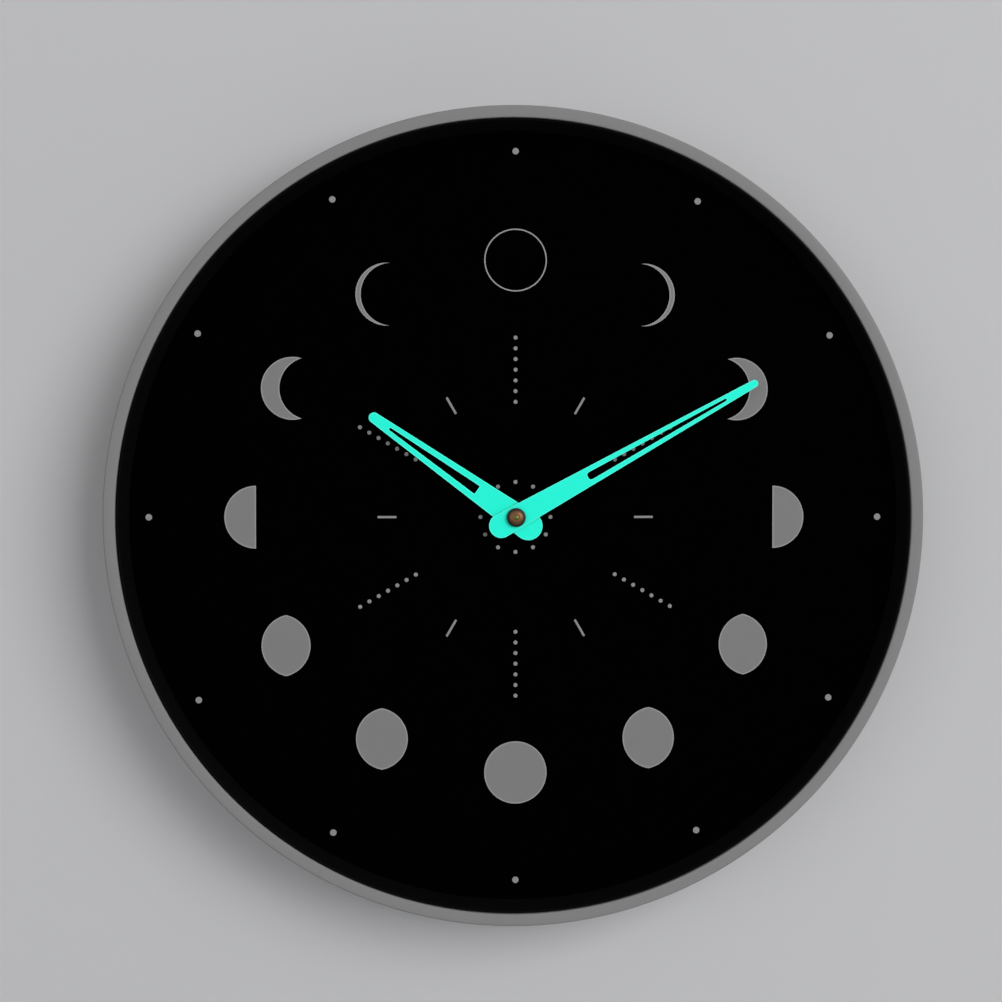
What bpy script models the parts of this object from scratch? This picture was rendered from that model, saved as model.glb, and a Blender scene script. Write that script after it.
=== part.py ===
"""Moon phase wall clock, 300 mm across, in metres, with +Z up and the dial facing -Y.

The origin is on the wall, straight behind the nail's seat in the hanger, and the dial's axis lies
NAIL_DROP below it. Depths run along Y from the wall plane at y = 0, so those in front of it are
negative. Outlines are lists of (x, z) points seen from the front, counted from the dial's axis.
"""

import math

import bmesh
import bpy

# Clearances
FIT_GAP = 0.0003
RUNNING_GAP = 0.0002

# Case ring: a moulded grey rim with a flat front lip
CASE_RADIUS = 0.150
CASE_DEPTH = 0.032
CASE_WALL = 0.0023
LIP_WIDTH = 0.0045
LIP_THICKNESS = 0.003
LIP_ROUNDING = 0.0007
HOOK_COUNT = 8
HOOK_REACH = 0.0011
HOOK_LENGTH = 0.0032
HOOK_WIDTH = 0.009

# Bezel ring: the black slope between the lip and the dial
BEZEL_SLOPE_WIDTH = 0.0034
BEZEL_FLANGE = 0.0024
BEZEL_LAND = 0.0006
BEZEL_SET_BACK = 0.0008
BEZEL_EDGE = 0.0003

# Dial and its raised marks, whose circles are stepped inwards from the bezel
DIAL_RECESS = 0.006
DIAL_THICKNESS = 0.0012
MARK_RELIEF = 0.00025
MARK_ROOT = 0.0005
HOUR_DOT_INSET = 0.0071
HOUR_DOT_RADIUS = 0.0012
MOON_INSET = 0.0469
MOON_RADIUS = 0.0115
MOON_LINE = 0.00045
THIN_CRESCENT = 0.0019
WIDE_CRESCENT = 0.0067
NARROW_GIBBOUS_CUT = 0.0051
WIDE_GIBBOUS_CUT = 0.0040
HALF_MOON_STEP = 0.0008
ROW_INSET = 0.0169
ROW_STEP = 0.00393
ROW_DOTS = 7
SMALL_DOT_RADIUS = 0.00075
INNER_CIRCLE_RADIUS = 0.01287
DASH_INSET = 0.0069
DASH_LENGTH = 0.0070
DASH_WIDTH = 0.0008

# Back plate, which carries the dial, the movement and the hanger
PLATE_THICKNESS = 0.0025
PLATE_RIB_COUNT = 8
PLATE_RIB_HEIGHT = 0.0055
PLATE_RIB_THICKNESS = 0.0016
RIM_RIB_INSET = 0.0076
RIB_CLEARANCE = 0.0050
MOVEMENT_FRAME_HEIGHT = 0.0045
MOVEMENT_FRAME_WALL = 0.0016

# Hanger: a steel plate with a keyhole on two posts of the back plate
NAIL_INSET = 0.038
HANGER_MARGIN = 0.0050
HANGER_EDGE = 0.0060
HANGER_THICKNESS = 0.0012
HANGER_CLEARANCE = 0.0030
HANGER_SCREW_SPACING = 0.030
NAIL_SLOT_RADIUS = 0.0026
NAIL_ENTRY_RADIUS = 0.0050
NAIL_ENTRY_DROP = 0.009
POST_RADIUS = 0.0040
SCREW_SHANK_RADIUS = 0.0013
SCREW_LENGTH = 0.007
SCREW_HEAD_RADIUS = 0.0026
SCREW_HEAD_HEIGHT = 0.0014

# Hands, which taper by this much of their length
HAND_THICKNESS = 0.0005
TAIL_REACH = 0.0107
MINUTE_TIP_INSET = 0.0398
MINUTE_HAND_WIDTH = 0.0085
MINUTE_HAND_TAPER = 0.0575
MINUTE_SLOT_START = 0.0301
MINUTE_SLOT_INSET = 0.0131
MINUTE_SLOT_WIDTH = 0.00295
MINUTE_SLOT_TIP_WIDTH = 0.0009
HOUR_TIP_INSET = 0.0007
HOUR_HAND_WIDTH = 0.00994
HOUR_HAND_TAPER = 0.0963
HOUR_SLOT_START = 0.0173
HOUR_SLOT_INSET = 0.0088
HOUR_SLOT_WIDTH = 0.00348
HOUR_SLOT_TIP_WIDTH = 0.0010
REST_HOUR = 10
REST_MINUTE = 10.12
HANDS_SPACING = 0.0015

# Arbors and pipes on the dial's axis, and the cap nut on the foremost
ARBOR_RADIUS = 0.0005
MINUTE_PIPE_RADIUS = 0.0017
PIPE_WALL = 0.00065
HOUR_PIPE_STANDS_OUT = 0.0014
MINUTE_FLAT = 0.0011
THREAD_LENGTH = 0.0012
CAP_NUT_WALL = 0.0009
CAP_NUT_RIM = 0.00085
CAP_FLANGE = 0.0006
CAP_HEIGHT = 0.0023

# Clamp of the movement: bush, washers and nut
BUSH_WALL = 0.00115
BUSH_STANDS_OUT = 0.0005
RUBBER_WIDTH = 0.0101
RUBBER_THICKNESS = 0.0008
WASHER_WIDTH = 0.0027
WASHER_THICKNESS = 0.0005
NUT_WALL = 0.0016
NUT_THICKNESS = 0.0020

# Movement case, its lid and its battery
BATTERY_RADIUS = 0.00725
BATTERY_LENGTH = 0.0505
BATTERY_NUB_RADIUS = 0.00275
BATTERY_NUB_LENGTH = 0.00125
CONTACT_ROOM = 0.0011
CONTACT_THICKNESS = 0.0003
CONTACT_WIDTH = 0.004
MOVEMENT_WALL = 0.0012
TRAIN_CLEARANCE = 0.0014
CORNER_RADIUS = 0.003
PIVOT_BOSS_RADIUS = 0.0013
PIVOT_BOSS_HEIGHT = 0.0015
LID_CLEARANCE = 0.0015
MIDDLE_PLATE_POST_RADIUS = 0.0018

# Layers of the movement
MIDDLE_PLATE_THICKNESS = 0.0010
WHEEL_THICKNESS = 0.0007
WHEEL_SPACING = 0.0007
PINION_OVERHANG = 0.0002

# Train: tooth counts, centre distances and directions
MINUTE_LEAVES = 12
MOTION_TEETH = 36
MOTION_LEAVES = 10
HOUR_TEETH = 40
TRAIN_LEAVES = 6
INTERMEDIATE_TEETH = 36
SECOND_TEETH = 30
THIRD_TEETH = 48
CENTRE_TEETH = 45
MOTION_DISTANCE = 0.0110
INTERMEDIATE_DISTANCE = 0.0096
ROTOR_DISTANCE = 0.0076
ARBOR_CLEARANCE = 0.0005
MOTION_DIRECTION = math.radians(180)
THIRD_DIRECTION = math.radians(0)
INTERMEDIATE_DIRECTION = math.radians(90)
ROTOR_DIRECTION = math.radians(60)
MOTION_ARBOR_RADIUS = 0.0010

# Tooth forms: addendum and dedendum in modules, half widths at root and tip in pitches
WHEEL_TOOTH = (0.90, 1.20, 0.34, 0.10)
LEAF_TOOTH = (0.75, 1.25, 0.24, 0.13)

# Stepping motor and circuit
ROTOR_RADIUS = 0.0026
ROTOR_LENGTH = 0.0026
STATOR_GAP = 0.0007
STATOR_NECK = 0.0005
STATOR_THICKNESS = 0.0008
STATOR_REACH = 0.016
STATOR_LEG = 0.004
COIL_SIDE = 0.0029
COIL_CLEARANCE = 0.0008
COIL_CORE_WIDTH = 0.0030
COIL_CORE_THICKNESS = 0.0006
COIL_FLANGE = 0.0008
BOARD_WIDTH = 0.011
BOARD_HEIGHT = 0.0165
BOARD_INSET = 0.00135
BOARD_THICKNESS = 0.0008
BOARD_STANDS_OFF = 0.0013
CHIP_RADIUS = 0.0030
CHIP_HEIGHT = 0.0010
CRYSTAL_RADIUS = 0.0010
CRYSTAL_LENGTH = 0.0060

# Setting knob
KNOB_RADIUS = 0.0045
KNOB_THICKNESS = 0.0025
KNOB_SCALLOPS = 14
KNOB_SCALLOP_DEPTH = 0.0004

# Facets and shading
RING_SIDES = 64
MOON_SIDES = 24
SMALL_DOT_SIDES = 6
HOUR_DOT_SIDES = 8
ROUND_SIDES = 20
PIPE_SIDES = 16
SMALL_ROUND_SIDES = 12
SHARP_ANGLE = math.radians(32)


def around(radius, angle, centre=(0.0, 0.0)):
    """The (x, z) point at a radius and an angle from a centre."""
    return centre[0] + radius * math.cos(angle), centre[1] + radius * math.sin(angle)


def module_of(distance, teeth, other_teeth):
    """The module of two gears in mesh: twice their centre distance over their teeth."""
    return 2 * distance / (teeth + other_teeth)


def tip_radius(teeth, module):
    return (teeth / 2 + WHEEL_TOOTH[0]) * module


# Radii of the case, the dial's circles and the hands
LIP_RADIUS = CASE_RADIUS - LIP_WIDTH
WALL_RADIUS = CASE_RADIUS - CASE_WALL
BEZEL_RISER_RADIUS = LIP_RADIUS - FIT_GAP
BEZEL_INNER_RADIUS = BEZEL_RISER_RADIUS - BEZEL_LAND - BEZEL_SLOPE_WIDTH
HOUR_DOT_CIRCLE_RADIUS = BEZEL_INNER_RADIUS - HOUR_DOT_INSET
MOON_CIRCLE_RADIUS = BEZEL_INNER_RADIUS - MOON_INSET
ROW_OUTER_RADIUS = MOON_CIRCLE_RADIUS - MOON_RADIUS - ROW_INSET
DASH_CIRCLE_RADIUS = ROW_OUTER_RADIUS - (ROW_DOTS - 1) * ROW_STEP / 2 - DASH_INSET
MINUTE_HAND_LENGTH = BEZEL_INNER_RADIUS - MINUTE_TIP_INSET
HOUR_HAND_LENGTH = ROW_OUTER_RADIUS - HOUR_TIP_INSET
NAIL_DROP = CASE_RADIUS - NAIL_INSET
PLATE_RADIUS = WALL_RADIUS - FIT_GAP
RIM_RIB_RADIUS = PLATE_RADIUS - RIM_RIB_INSET
HOUR_PIPE_RADIUS = MINUTE_PIPE_RADIUS + RUNNING_GAP + PIPE_WALL
BUSH_BORE_RADIUS = HOUR_PIPE_RADIUS + RUNNING_GAP
BUSH_RADIUS = BUSH_BORE_RADIUS + BUSH_WALL
HOLE_RADIUS = BUSH_RADIUS + FIT_GAP

# The train's modules and axes
FINE_MODULE = module_of(MOTION_DISTANCE, MINUTE_LEAVES, MOTION_TEETH)
COARSE_MODULE = module_of(MOTION_DISTANCE, MOTION_LEAVES, HOUR_TEETH)
ROTOR_MODULE = module_of(ROTOR_DISTANCE, TRAIN_LEAVES, INTERMEDIATE_TEETH)
SECOND_MODULE = module_of(INTERMEDIATE_DISTANCE, TRAIN_LEAVES, SECOND_TEETH)
THIRD_DISTANCE = tip_radius(SECOND_TEETH, SECOND_MODULE) + ARBOR_RADIUS + ARBOR_CLEARANCE
THIRD_MODULE = module_of(THIRD_DISTANCE, TRAIN_LEAVES, THIRD_TEETH)
CENTRE_MODULE = module_of(THIRD_DISTANCE, TRAIN_LEAVES, CENTRE_TEETH)
MOTION_AXIS = around(MOTION_DISTANCE, MOTION_DIRECTION)
THIRD_AXIS = around(THIRD_DISTANCE, THIRD_DIRECTION)
INTERMEDIATE_AXIS = around(INTERMEDIATE_DISTANCE, INTERMEDIATE_DIRECTION)
ROTOR_AXIS = around(ROTOR_DISTANCE, ROTOR_DIRECTION, INTERMEDIATE_AXIS)
TRAIN_AXES = ((0.0, 0.0), THIRD_AXIS, INTERMEDIATE_AXIS, ROTOR_AXIS)

# Layers, measured back from the movement's front face, each from the one before
LAYER_STEP = WHEEL_THICKNESS + WHEEL_SPACING
HOUR_WHEEL_LAYER = MOVEMENT_WALL + WHEEL_SPACING
MOTION_WHEEL_LAYER = HOUR_WHEEL_LAYER + LAYER_STEP
MIDDLE_PLATE_LAYER = MOTION_WHEEL_LAYER + LAYER_STEP
CENTRE_WHEEL_LAYER = MIDDLE_PLATE_LAYER + MIDDLE_PLATE_THICKNESS + WHEEL_SPACING
THIRD_WHEEL_LAYER = CENTRE_WHEEL_LAYER + LAYER_STEP
SECOND_WHEEL_LAYER = THIRD_WHEEL_LAYER + LAYER_STEP
INTERMEDIATE_WHEEL_LAYER = SECOND_WHEEL_LAYER + LAYER_STEP
BOARD_LAYER = MIDDLE_PLATE_LAYER + MIDDLE_PLATE_THICKNESS + BOARD_STANDS_OFF
MOVEMENT_DEPTH = INTERMEDIATE_WHEEL_LAYER + WHEEL_THICKNESS + LID_CLEARANCE + PIVOT_BOSS_HEIGHT + MOVEMENT_WALL

# The movement case goes round its train, its coil and its battery
TRAIN_DROP = tip_radius(HOUR_TEETH, COARSE_MODULE) + TRAIN_CLEARANCE
COIL_HEIGHT = ROTOR_AXIS[1] + ROTOR_RADIUS + STATOR_GAP + COIL_CLEARANCE + COIL_SIDE
POCKET_TOP = COIL_HEIGHT + COIL_SIDE + COIL_CLEARANCE
MOVEMENT_TOP = POCKET_TOP + MOVEMENT_WALL
POCKET_HALF_WIDTH = BATTERY_LENGTH / 2 + CONTACT_ROOM
MOVEMENT_HALF_WIDTH = POCKET_HALF_WIDTH + MOVEMENT_WALL
BAY_TOP = -TRAIN_DROP - MOVEMENT_WALL
BAY_BOTTOM = BAY_TOP - 2 * (BATTERY_RADIUS + FIT_GAP)
MOVEMENT_BOTTOM = BAY_BOTTOM - MOVEMENT_WALL
BATTERY_HEIGHT = (BAY_TOP + BAY_BOTTOM) / 2
BOARD_LEFT = BOARD_INSET - POCKET_HALF_WIDTH
BOARD_RIGHT = BOARD_LEFT + BOARD_WIDTH
BOARD_BOTTOM = POCKET_TOP / 2 - TRAIN_DROP + CONTACT_THICKNESS
BOARD_TOP = BOARD_BOTTOM + BOARD_HEIGHT
STATOR_LEFT = ROTOR_AXIS[0] - STATOR_REACH
STATOR_RIGHT = ROTOR_AXIS[0] + STATOR_REACH

# Planes, from the case's front to the back, then from the movement's front to the cap nut
RIM_FRONT = -CASE_DEPTH
LIP_BACK = RIM_FRONT + LIP_THICKNESS
DIAL_FRONT = RIM_FRONT + DIAL_RECESS
DIAL_BACK = DIAL_FRONT + DIAL_THICKNESS
PLATE_FRONT = DIAL_BACK + FIT_GAP
PLATE_BACK = PLATE_FRONT + PLATE_THICKNESS
RUBBER_FRONT = PLATE_BACK + FIT_GAP
MOVEMENT_FRONT = RUBBER_FRONT + RUBBER_THICKNESS + FIT_GAP
MOVEMENT_BACK = MOVEMENT_FRONT + MOVEMENT_DEPTH
MIDDLE_PLATE_FRONT = MOVEMENT_FRONT + MIDDLE_PLATE_LAYER
MIDDLE_PLATE_BACK = MIDDLE_PLATE_FRONT + MIDDLE_PLATE_THICKNESS
LID_FRONT = MOVEMENT_BACK - MOVEMENT_WALL
BOSS_FRONT = LID_FRONT - PIVOT_BOSS_HEIGHT
ARBOR_FRONT = MIDDLE_PLATE_FRONT + RUNNING_GAP
ARBOR_BACK = LID_FRONT
BATTERY_DEPTH = MOVEMENT_FRONT + MOVEMENT_WALL + FIT_GAP + BATTERY_RADIUS
CONTACT_FRONT = MOVEMENT_FRONT + BOARD_LAYER - FIT_GAP
HANGER_BACK = -HANGER_CLEARANCE
HANGER_FRONT = HANGER_BACK - HANGER_THICKNESS
POST_BACK = HANGER_FRONT - FIT_GAP
WASHER_BACK = DIAL_FRONT - FIT_GAP
NUT_BACK = WASHER_BACK - WASHER_THICKNESS - FIT_GAP
BUSH_FRONT = NUT_BACK - NUT_THICKNESS - BUSH_STANDS_OUT
HOUR_PIPE_FRONT = BUSH_FRONT - HOUR_PIPE_STANDS_OUT
HOUR_HAND_FRONT = HOUR_PIPE_FRONT + RUNNING_GAP
HOUR_HAND_BACK = HOUR_HAND_FRONT + HAND_THICKNESS
MINUTE_HAND_BACK = HOUR_HAND_BACK - HANDS_SPACING
MINUTE_HAND_FRONT = MINUTE_HAND_BACK - HAND_THICKNESS
CAP_NUT_BACK = MINUTE_HAND_FRONT - FIT_GAP
THREAD_FRONT = CAP_NUT_BACK - THREAD_LENGTH


# Outlines

def arc(radius, start, end, steps, centre=(0.0, 0.0)):
    return [around(radius, start + (end - start) * i / steps, centre) for i in range(steps + 1)]


def circle(radius, sides, centre=(0.0, 0.0), phase=0.0):
    return arc(radius, phase, phase + 2 * math.pi, sides, centre)[:-1]


def rectangle(left, right, bottom, top):
    return [(left, bottom), (right, bottom), (right, top), (left, top)]


def rounded_rectangle(left, right, bottom, top, radius, steps=3):
    """A rectangle whose corners are arcs, counted anticlockwise from the lower right corner."""
    corners = ((right, bottom, -1), (right, top, 0), (left, top, 1), (left, bottom, 2))
    points = []
    for x, z, quarter in corners:
        centre = (x - math.copysign(radius, x - left - radius), z - math.copysign(radius, z - bottom - radius))
        points += arc(radius, quarter * math.pi / 2, (quarter + 1) * math.pi / 2, steps, centre)
    return points


def mirrored(loop):
    return [(-x, z) for x, z in reversed(loop)]


def moved(loop, centre):
    return [(x + centre[0], z + centre[1]) for x, z in loop]


def hour_angle(hour):
    """The angle of an hour on the dial, anticlockwise from +X as seen from the front."""
    return math.pi / 2 - hour * math.pi / 6


def gear(teeth, module, phase, tooth):
    """A gear's outline: each tooth is a trapezium from the root circle to the tip circle."""
    addendum, dedendum, root_half, tip_half = tooth
    pitch = 2 * math.pi / teeth
    root = (teeth / 2 - dedendum) * module
    tip = (teeth / 2 + addendum) * module
    points = []
    for i in range(teeth):
        for radius, half in ((root, -root_half), (tip, -tip_half), (tip, tip_half), (root, root_half)):
            points.append(around(radius, phase + (i + half) * pitch))
    return points


def meshed_phase(direction, phase, teeth, other_teeth):
    """The phase of the other gear, which lies in this direction, that puts its gaps on these teeth."""
    fraction = (direction - phase) * teeth / (2 * math.pi)
    return direction + math.pi - (0.5 - fraction) * 2 * math.pi / other_teeth


def hand_outline(length, width, taper, steps=6):
    """A straight-sided hand along +X, whose sides are tangent to its round tip and its round tail."""
    half_angle = math.atan(taper / 2)
    reach = width / 2 / taper * 2
    tip = (reach - length) * math.sin(half_angle) / (1 - math.sin(half_angle))
    tail = (reach + TAIL_REACH) * math.sin(half_angle) / (1 + math.sin(half_angle))
    slope = math.pi / 2 - half_angle
    end = arc(tip, -slope, slope, steps, (length - tip, 0.0))
    return end + arc(tail, slope, 2 * math.pi - slope, 2 * steps, (tail - TAIL_REACH, 0.0))


def slot_outline(start, end, width, tip_width, steps=4):
    """A tapering slot along +X with a square end near the hub and a round one near the tip."""
    tip = arc(tip_width / 2, -math.pi / 2, math.pi / 2, steps, (end - tip_width / 2, 0.0))
    return [(start, -width / 2)] + tip + [(start, width / 2)]


def double_flat(radius, half_width, steps=4):
    """A circle with two flats, left and right of its centre."""
    angle = math.acos(half_width / radius)
    top = arc(radius, angle, math.pi - angle, steps)
    return top + [(-x, -z) for x, z in top]


def turned_round(loop, angle):
    cosine, sine = math.cos(angle), math.sin(angle)
    return [(x * cosine - z * sine, x * sine + z * cosine) for x, z in loop]


# Solids

def add_loop(bm, points):
    verts = [bm.verts.new(point) for point in points]
    return verts, [bm.edges.new(pair) for pair in zip(verts, verts[1:] + verts[:1])]


def add_plate(bm, loops, front, back):
    """Fills outlines, of which the second and later ones are holes, and extrudes them along Y."""
    edges = []
    for loop in loops:
        edges += add_loop(bm, [(x, front, z) for x, z in loop])[1]
    filled = bmesh.ops.triangle_fill(bm, edges=edges, use_beauty=True)["geom"]
    faces = [part for part in filled if isinstance(part, bmesh.types.BMFace)]
    raised = bmesh.ops.extrude_face_region(bm, geom=faces)["geom"]
    verts = [part for part in raised if isinstance(part, bmesh.types.BMVert)]
    bmesh.ops.translate(bm, verts=verts, vec=(0.0, back - front, 0.0))
    return bm


def add_turned(bm, profile, sides, centre=(0.0, 0.0)):
    """Spins a profile of (radius, depth) points about Y. One that starts and ends on the axis stays open."""
    verts, edges = add_loop(bm, [(centre[0] + radius, depth, centre[1]) for radius, depth in profile])
    if profile[0][0] == profile[-1][0] == 0.0:
        bm.edges.remove(edges.pop())
    bmesh.ops.spin(
        bm, geom=verts + edges, cent=(centre[0], 0.0, centre[1]), axis=(0.0, 1.0, 0.0),
        angle=2 * math.pi, steps=sides, use_merge=True,
    )
    bmesh.ops.remove_doubles(bm, verts=bm.verts, dist=1e-7)
    return bm


def add_cylinder(bm, radius, front, back, sides, centre=(0.0, 0.0)):
    return add_turned(bm, [(0.0, front), (radius, front), (radius, back), (0.0, back)], sides, centre)


def add_tube(bm, inner, outer, front, back, sides, centre=(0.0, 0.0)):
    return add_turned(bm, [(inner, front), (outer, front), (outer, back), (inner, back)], sides, centre)


def add_radial(bm, section, half_width, angle):
    """A block whose (radius, depth) section is carried sideways by half its width each way."""
    radial = (math.cos(angle), math.sin(angle))
    sides = []
    for way in (-half_width, half_width):
        offset = (-radial[1] * way, radial[0] * way)
        sides.append([
            bm.verts.new((r * radial[0] + offset[0], depth, r * radial[1] + offset[1])) for r, depth in section
        ])
        bm.faces.new(sides[-1])
    for i in range(len(section)):
        j = (i + 1) % len(section)
        bm.faces.new((sides[0][i], sides[0][j], sides[1][j], sides[1][i]))
    return bm


# Objects

def finish(name, colour, roughness, metallic=0.0):
    """A Principled material, made once for each name."""
    made = bpy.data.materials.get(name)
    if made:
        return made
    made = bpy.data.materials.new(name)
    made.use_nodes = True
    shader = made.node_tree.nodes["Principled BSDF"]
    shader.inputs["Base Color"].default_value = (*colour, 1.0)
    shader.inputs["Roughness"].default_value = roughness
    shader.inputs["Metallic"].default_value = metallic
    made.diffuse_color = (*colour, 1.0)
    return made


def rim_grey():
    return finish("rim_grey", (0.209, 0.209, 0.213), 0.45)


def mark_grey():
    return finish("mark_grey", (0.19, 0.19, 0.19), 0.6)


def dial_black():
    return finish("dial_black", (0.002, 0.002, 0.002), 0.8)


def bezel_black():
    return finish("bezel_black", (0.004, 0.004, 0.004), 0.55)


def moulded_black():
    return finish("moulded_black", (0.02, 0.02, 0.021), 0.5)


def hand_turquoise():
    return finish("hand_turquoise", (0.042, 0.85, 0.65), 0.5)


def brass():
    return finish("brass", (0.46, 0.30, 0.11), 0.3, 1.0)


def steel():
    return finish("steel", (0.55, 0.55, 0.56), 0.3, 1.0)


def black_steel():
    return finish("black_steel", (0.012, 0.012, 0.013), 0.45, 0.6)


def white_plastic():
    return finish("white_plastic", (0.72, 0.72, 0.68), 0.4)


def place(name, bm, material, location=(0.0, 0.0, 0.0), turn=0.0, parent=None):
    """Makes an object of a bmesh, at a location counted from the dial's axis and turned about Z."""
    bmesh.ops.recalc_face_normals(bm, faces=bm.faces)
    mesh = bpy.data.meshes.new(name)
    bm.to_mesh(mesh)
    bm.free()
    mesh.shade_smooth()
    mesh.set_sharp_from_angle(angle=SHARP_ANGLE)
    mesh.materials.append(material)
    made = bpy.data.objects.new(name, mesh)
    bpy.context.scene.collection.objects.link(made)
    made.parent = parent or bpy.data.objects["dial_axis"]
    made.location = location
    made.rotation_euler = (0.0, 0.0, turn)
    return made


def on_axis(axis):
    return axis[0], 0.0, axis[1]


def change(piece, bm, operation):
    """Joins a solid to a piece or cuts it out with an exact Boolean."""
    name = f"{piece.name}_{operation.lower()}_{len(piece.modifiers) + 1}"
    tool = place(name, bm, piece.data.materials[0], parent=piece)
    tool.hide_render = True
    tool.display_type = "WIRE"
    modifier = piece.modifiers.new(name, "BOOLEAN")
    modifier.operation = operation
    modifier.solver = "EXACT"
    modifier.object = tool
    return tool


def sharp_edges():
    """A node group that shades faces smooth and leaves every edge steeper than SHARP_ANGLE sharp."""
    group = bpy.data.node_groups.new("sharp_edges", "GeometryNodeTree")
    group.interface.new_socket("Geometry", in_out="INPUT", socket_type="NodeSocketGeometry")
    group.interface.new_socket("Geometry", in_out="OUTPUT", socket_type="NodeSocketGeometry")
    angle = group.nodes.new("GeometryNodeInputMeshEdgeAngle")
    steep = group.nodes.new("FunctionNodeCompare")
    steep.inputs["B"].default_value = SHARP_ANGLE
    group.links.new(angle.outputs["Unsigned Angle"], steep.inputs["A"])
    shade = [group.nodes.new("GeometryNodeSetShadeSmooth") for _ in range(2)]
    shade[1].domain = "EDGE"
    shade[1].inputs["Shade Smooth"].default_value = False
    group.links.new(steep.outputs["Result"], shade[1].inputs["Selection"])
    chain = [group.nodes.new("NodeGroupInput"), *shade, group.nodes.new("NodeGroupOutput")]
    for before, after in zip(chain, chain[1:]):
        group.links.new(before.outputs["Geometry"], after.inputs["Geometry"])
    return group


def sharpen():
    """Gives the edges that the Booleans made the same shading as the rest."""
    group = sharp_edges()
    for piece in bpy.data.objects:
        if piece.type == "MESH" and piece.modifiers:
            piece.modifiers.new("sharp_edges", "NODES").node_group = group


def join(piece, bm):
    return change(piece, bm, "UNION")


def cut(piece, bm):
    return change(piece, bm, "DIFFERENCE")


# Case, bezel, dial and back plate

def make_case_ring():
    edge = LIP_ROUNDING
    profile = [(WALL_RADIUS, 0.0), (CASE_RADIUS, 0.0)]
    for start, middle, steps in ((0.0, CASE_RADIUS - edge, 2), (math.pi / 2, LIP_RADIUS + edge, 1)):
        for radius, rise in arc(edge, start, start + math.pi / 2, steps, (middle, 0.0)):
            profile.append((radius, RIM_FRONT + edge - rise))
    profile += [(LIP_RADIUS, LIP_BACK), (WALL_RADIUS, LIP_BACK)]
    ring = place("case_ring", add_turned(bmesh.new(), profile, RING_SIDES), rim_grey())
    hooks = bmesh.new()
    catch = PLATE_BACK + FIT_GAP
    root = WALL_RADIUS + CASE_WALL / 2
    section = [
        (root, catch), (WALL_RADIUS - HOOK_REACH, catch),
        (WALL_RADIUS - HOOK_REACH, catch + HOOK_LENGTH / 3), (root, catch + HOOK_LENGTH),
    ]
    for i in range(HOOK_COUNT):
        add_radial(hooks, section, HOOK_WIDTH / 2, (i + 0.5) * 2 * math.pi / HOOK_COUNT)
    join(ring, hooks)


def make_bezel_ring():
    back = DIAL_FRONT - FIT_GAP
    riser = BEZEL_RISER_RADIUS
    top = RIM_FRONT + BEZEL_SET_BACK
    flange = max(back - BEZEL_FLANGE, LIP_BACK + FIT_GAP)
    profile = [
        (BEZEL_INNER_RADIUS, back), (PLATE_RADIUS, back), (PLATE_RADIUS, flange), (riser, flange),
        (riser, top), (riser - BEZEL_LAND, top), (BEZEL_INNER_RADIUS, back - BEZEL_EDGE),
    ]
    place("bezel_ring", add_turned(bmesh.new(), profile, RING_SIDES), bezel_black())


def crescent(width):
    """A disc less an equal disc moved left by the crescent's width, so the right side is lit."""
    horn = math.acos(width / 2 / MOON_RADIUS)
    steps = MOON_SIDES // 2
    outer = arc(MOON_RADIUS, horn - math.pi, math.pi - horn, steps)
    return outer + arc(MOON_RADIUS, horn, -horn, steps - 2, (-width, 0.0))[1:-1]


def gibbous(missing):
    """What a disc shares with an equal disc moved right by the width that is missing at its left."""
    horn = math.acos(missing / 2 / MOON_RADIUS)
    steps = MOON_SIDES // 2
    right = arc(MOON_RADIUS, -horn, horn, steps)
    return right + arc(MOON_RADIUS, math.pi - horn, math.pi + horn, steps, (missing, 0.0))[1:-1]


def moon_loops():
    """(hour, loops) of the twelve moons: the right side is lit from 1 to 5, the left from 7 to 11."""
    full = circle(MOON_RADIUS, MOON_SIDES)
    waxing = {
        1: crescent(THIN_CRESCENT),
        2: crescent(WIDE_CRESCENT),
        3: arc(MOON_RADIUS, -math.pi / 2, math.pi / 2, MOON_SIDES // 2, (HALF_MOON_STEP, 0.0)),
        4: gibbous(NARROW_GIBBOUS_CUT),
        5: gibbous(WIDE_GIBBOUS_CUT),
    }
    moons = [(12, [full, circle(MOON_RADIUS - MOON_LINE, MOON_SIDES)]), (6, [full])]
    for hour, loop in waxing.items():
        moons += [(hour, [loop]), (12 - hour, [mirrored(loop)])]
    return moons


def dial_marks():
    """Every raised mark of the dial as (loops, place) pairs: moons, dots, dotted rows and dashes."""
    marks = [(loops, around(MOON_CIRCLE_RADIUS, hour_angle(hour))) for hour, loops in moon_loops()]
    small_dot = circle(SMALL_DOT_RADIUS, SMALL_DOT_SIDES, phase=math.pi / SMALL_DOT_SIDES)
    hour_dot = circle(HOUR_DOT_RADIUS, HOUR_DOT_SIDES)
    half_length, half_width = DASH_LENGTH / 2, DASH_WIDTH / 2
    dash = rectangle(-half_length, half_length, -half_width, half_width)
    for hour in range(12):
        angle = hour_angle(hour)
        marks.append(([hour_dot], around(HOUR_DOT_CIRCLE_RADIUS, angle)))
        marks.append(([small_dot], around(INNER_CIRCLE_RADIUS, angle)))
        if hour % 2:
            marks.append(([turned_round(dash, angle)], around(DASH_CIRCLE_RADIUS, angle)))
            continue
        for i in range(ROW_DOTS):
            marks.append(([small_dot], around(ROW_OUTER_RADIUS - i * ROW_STEP, angle)))
    return marks


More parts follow.
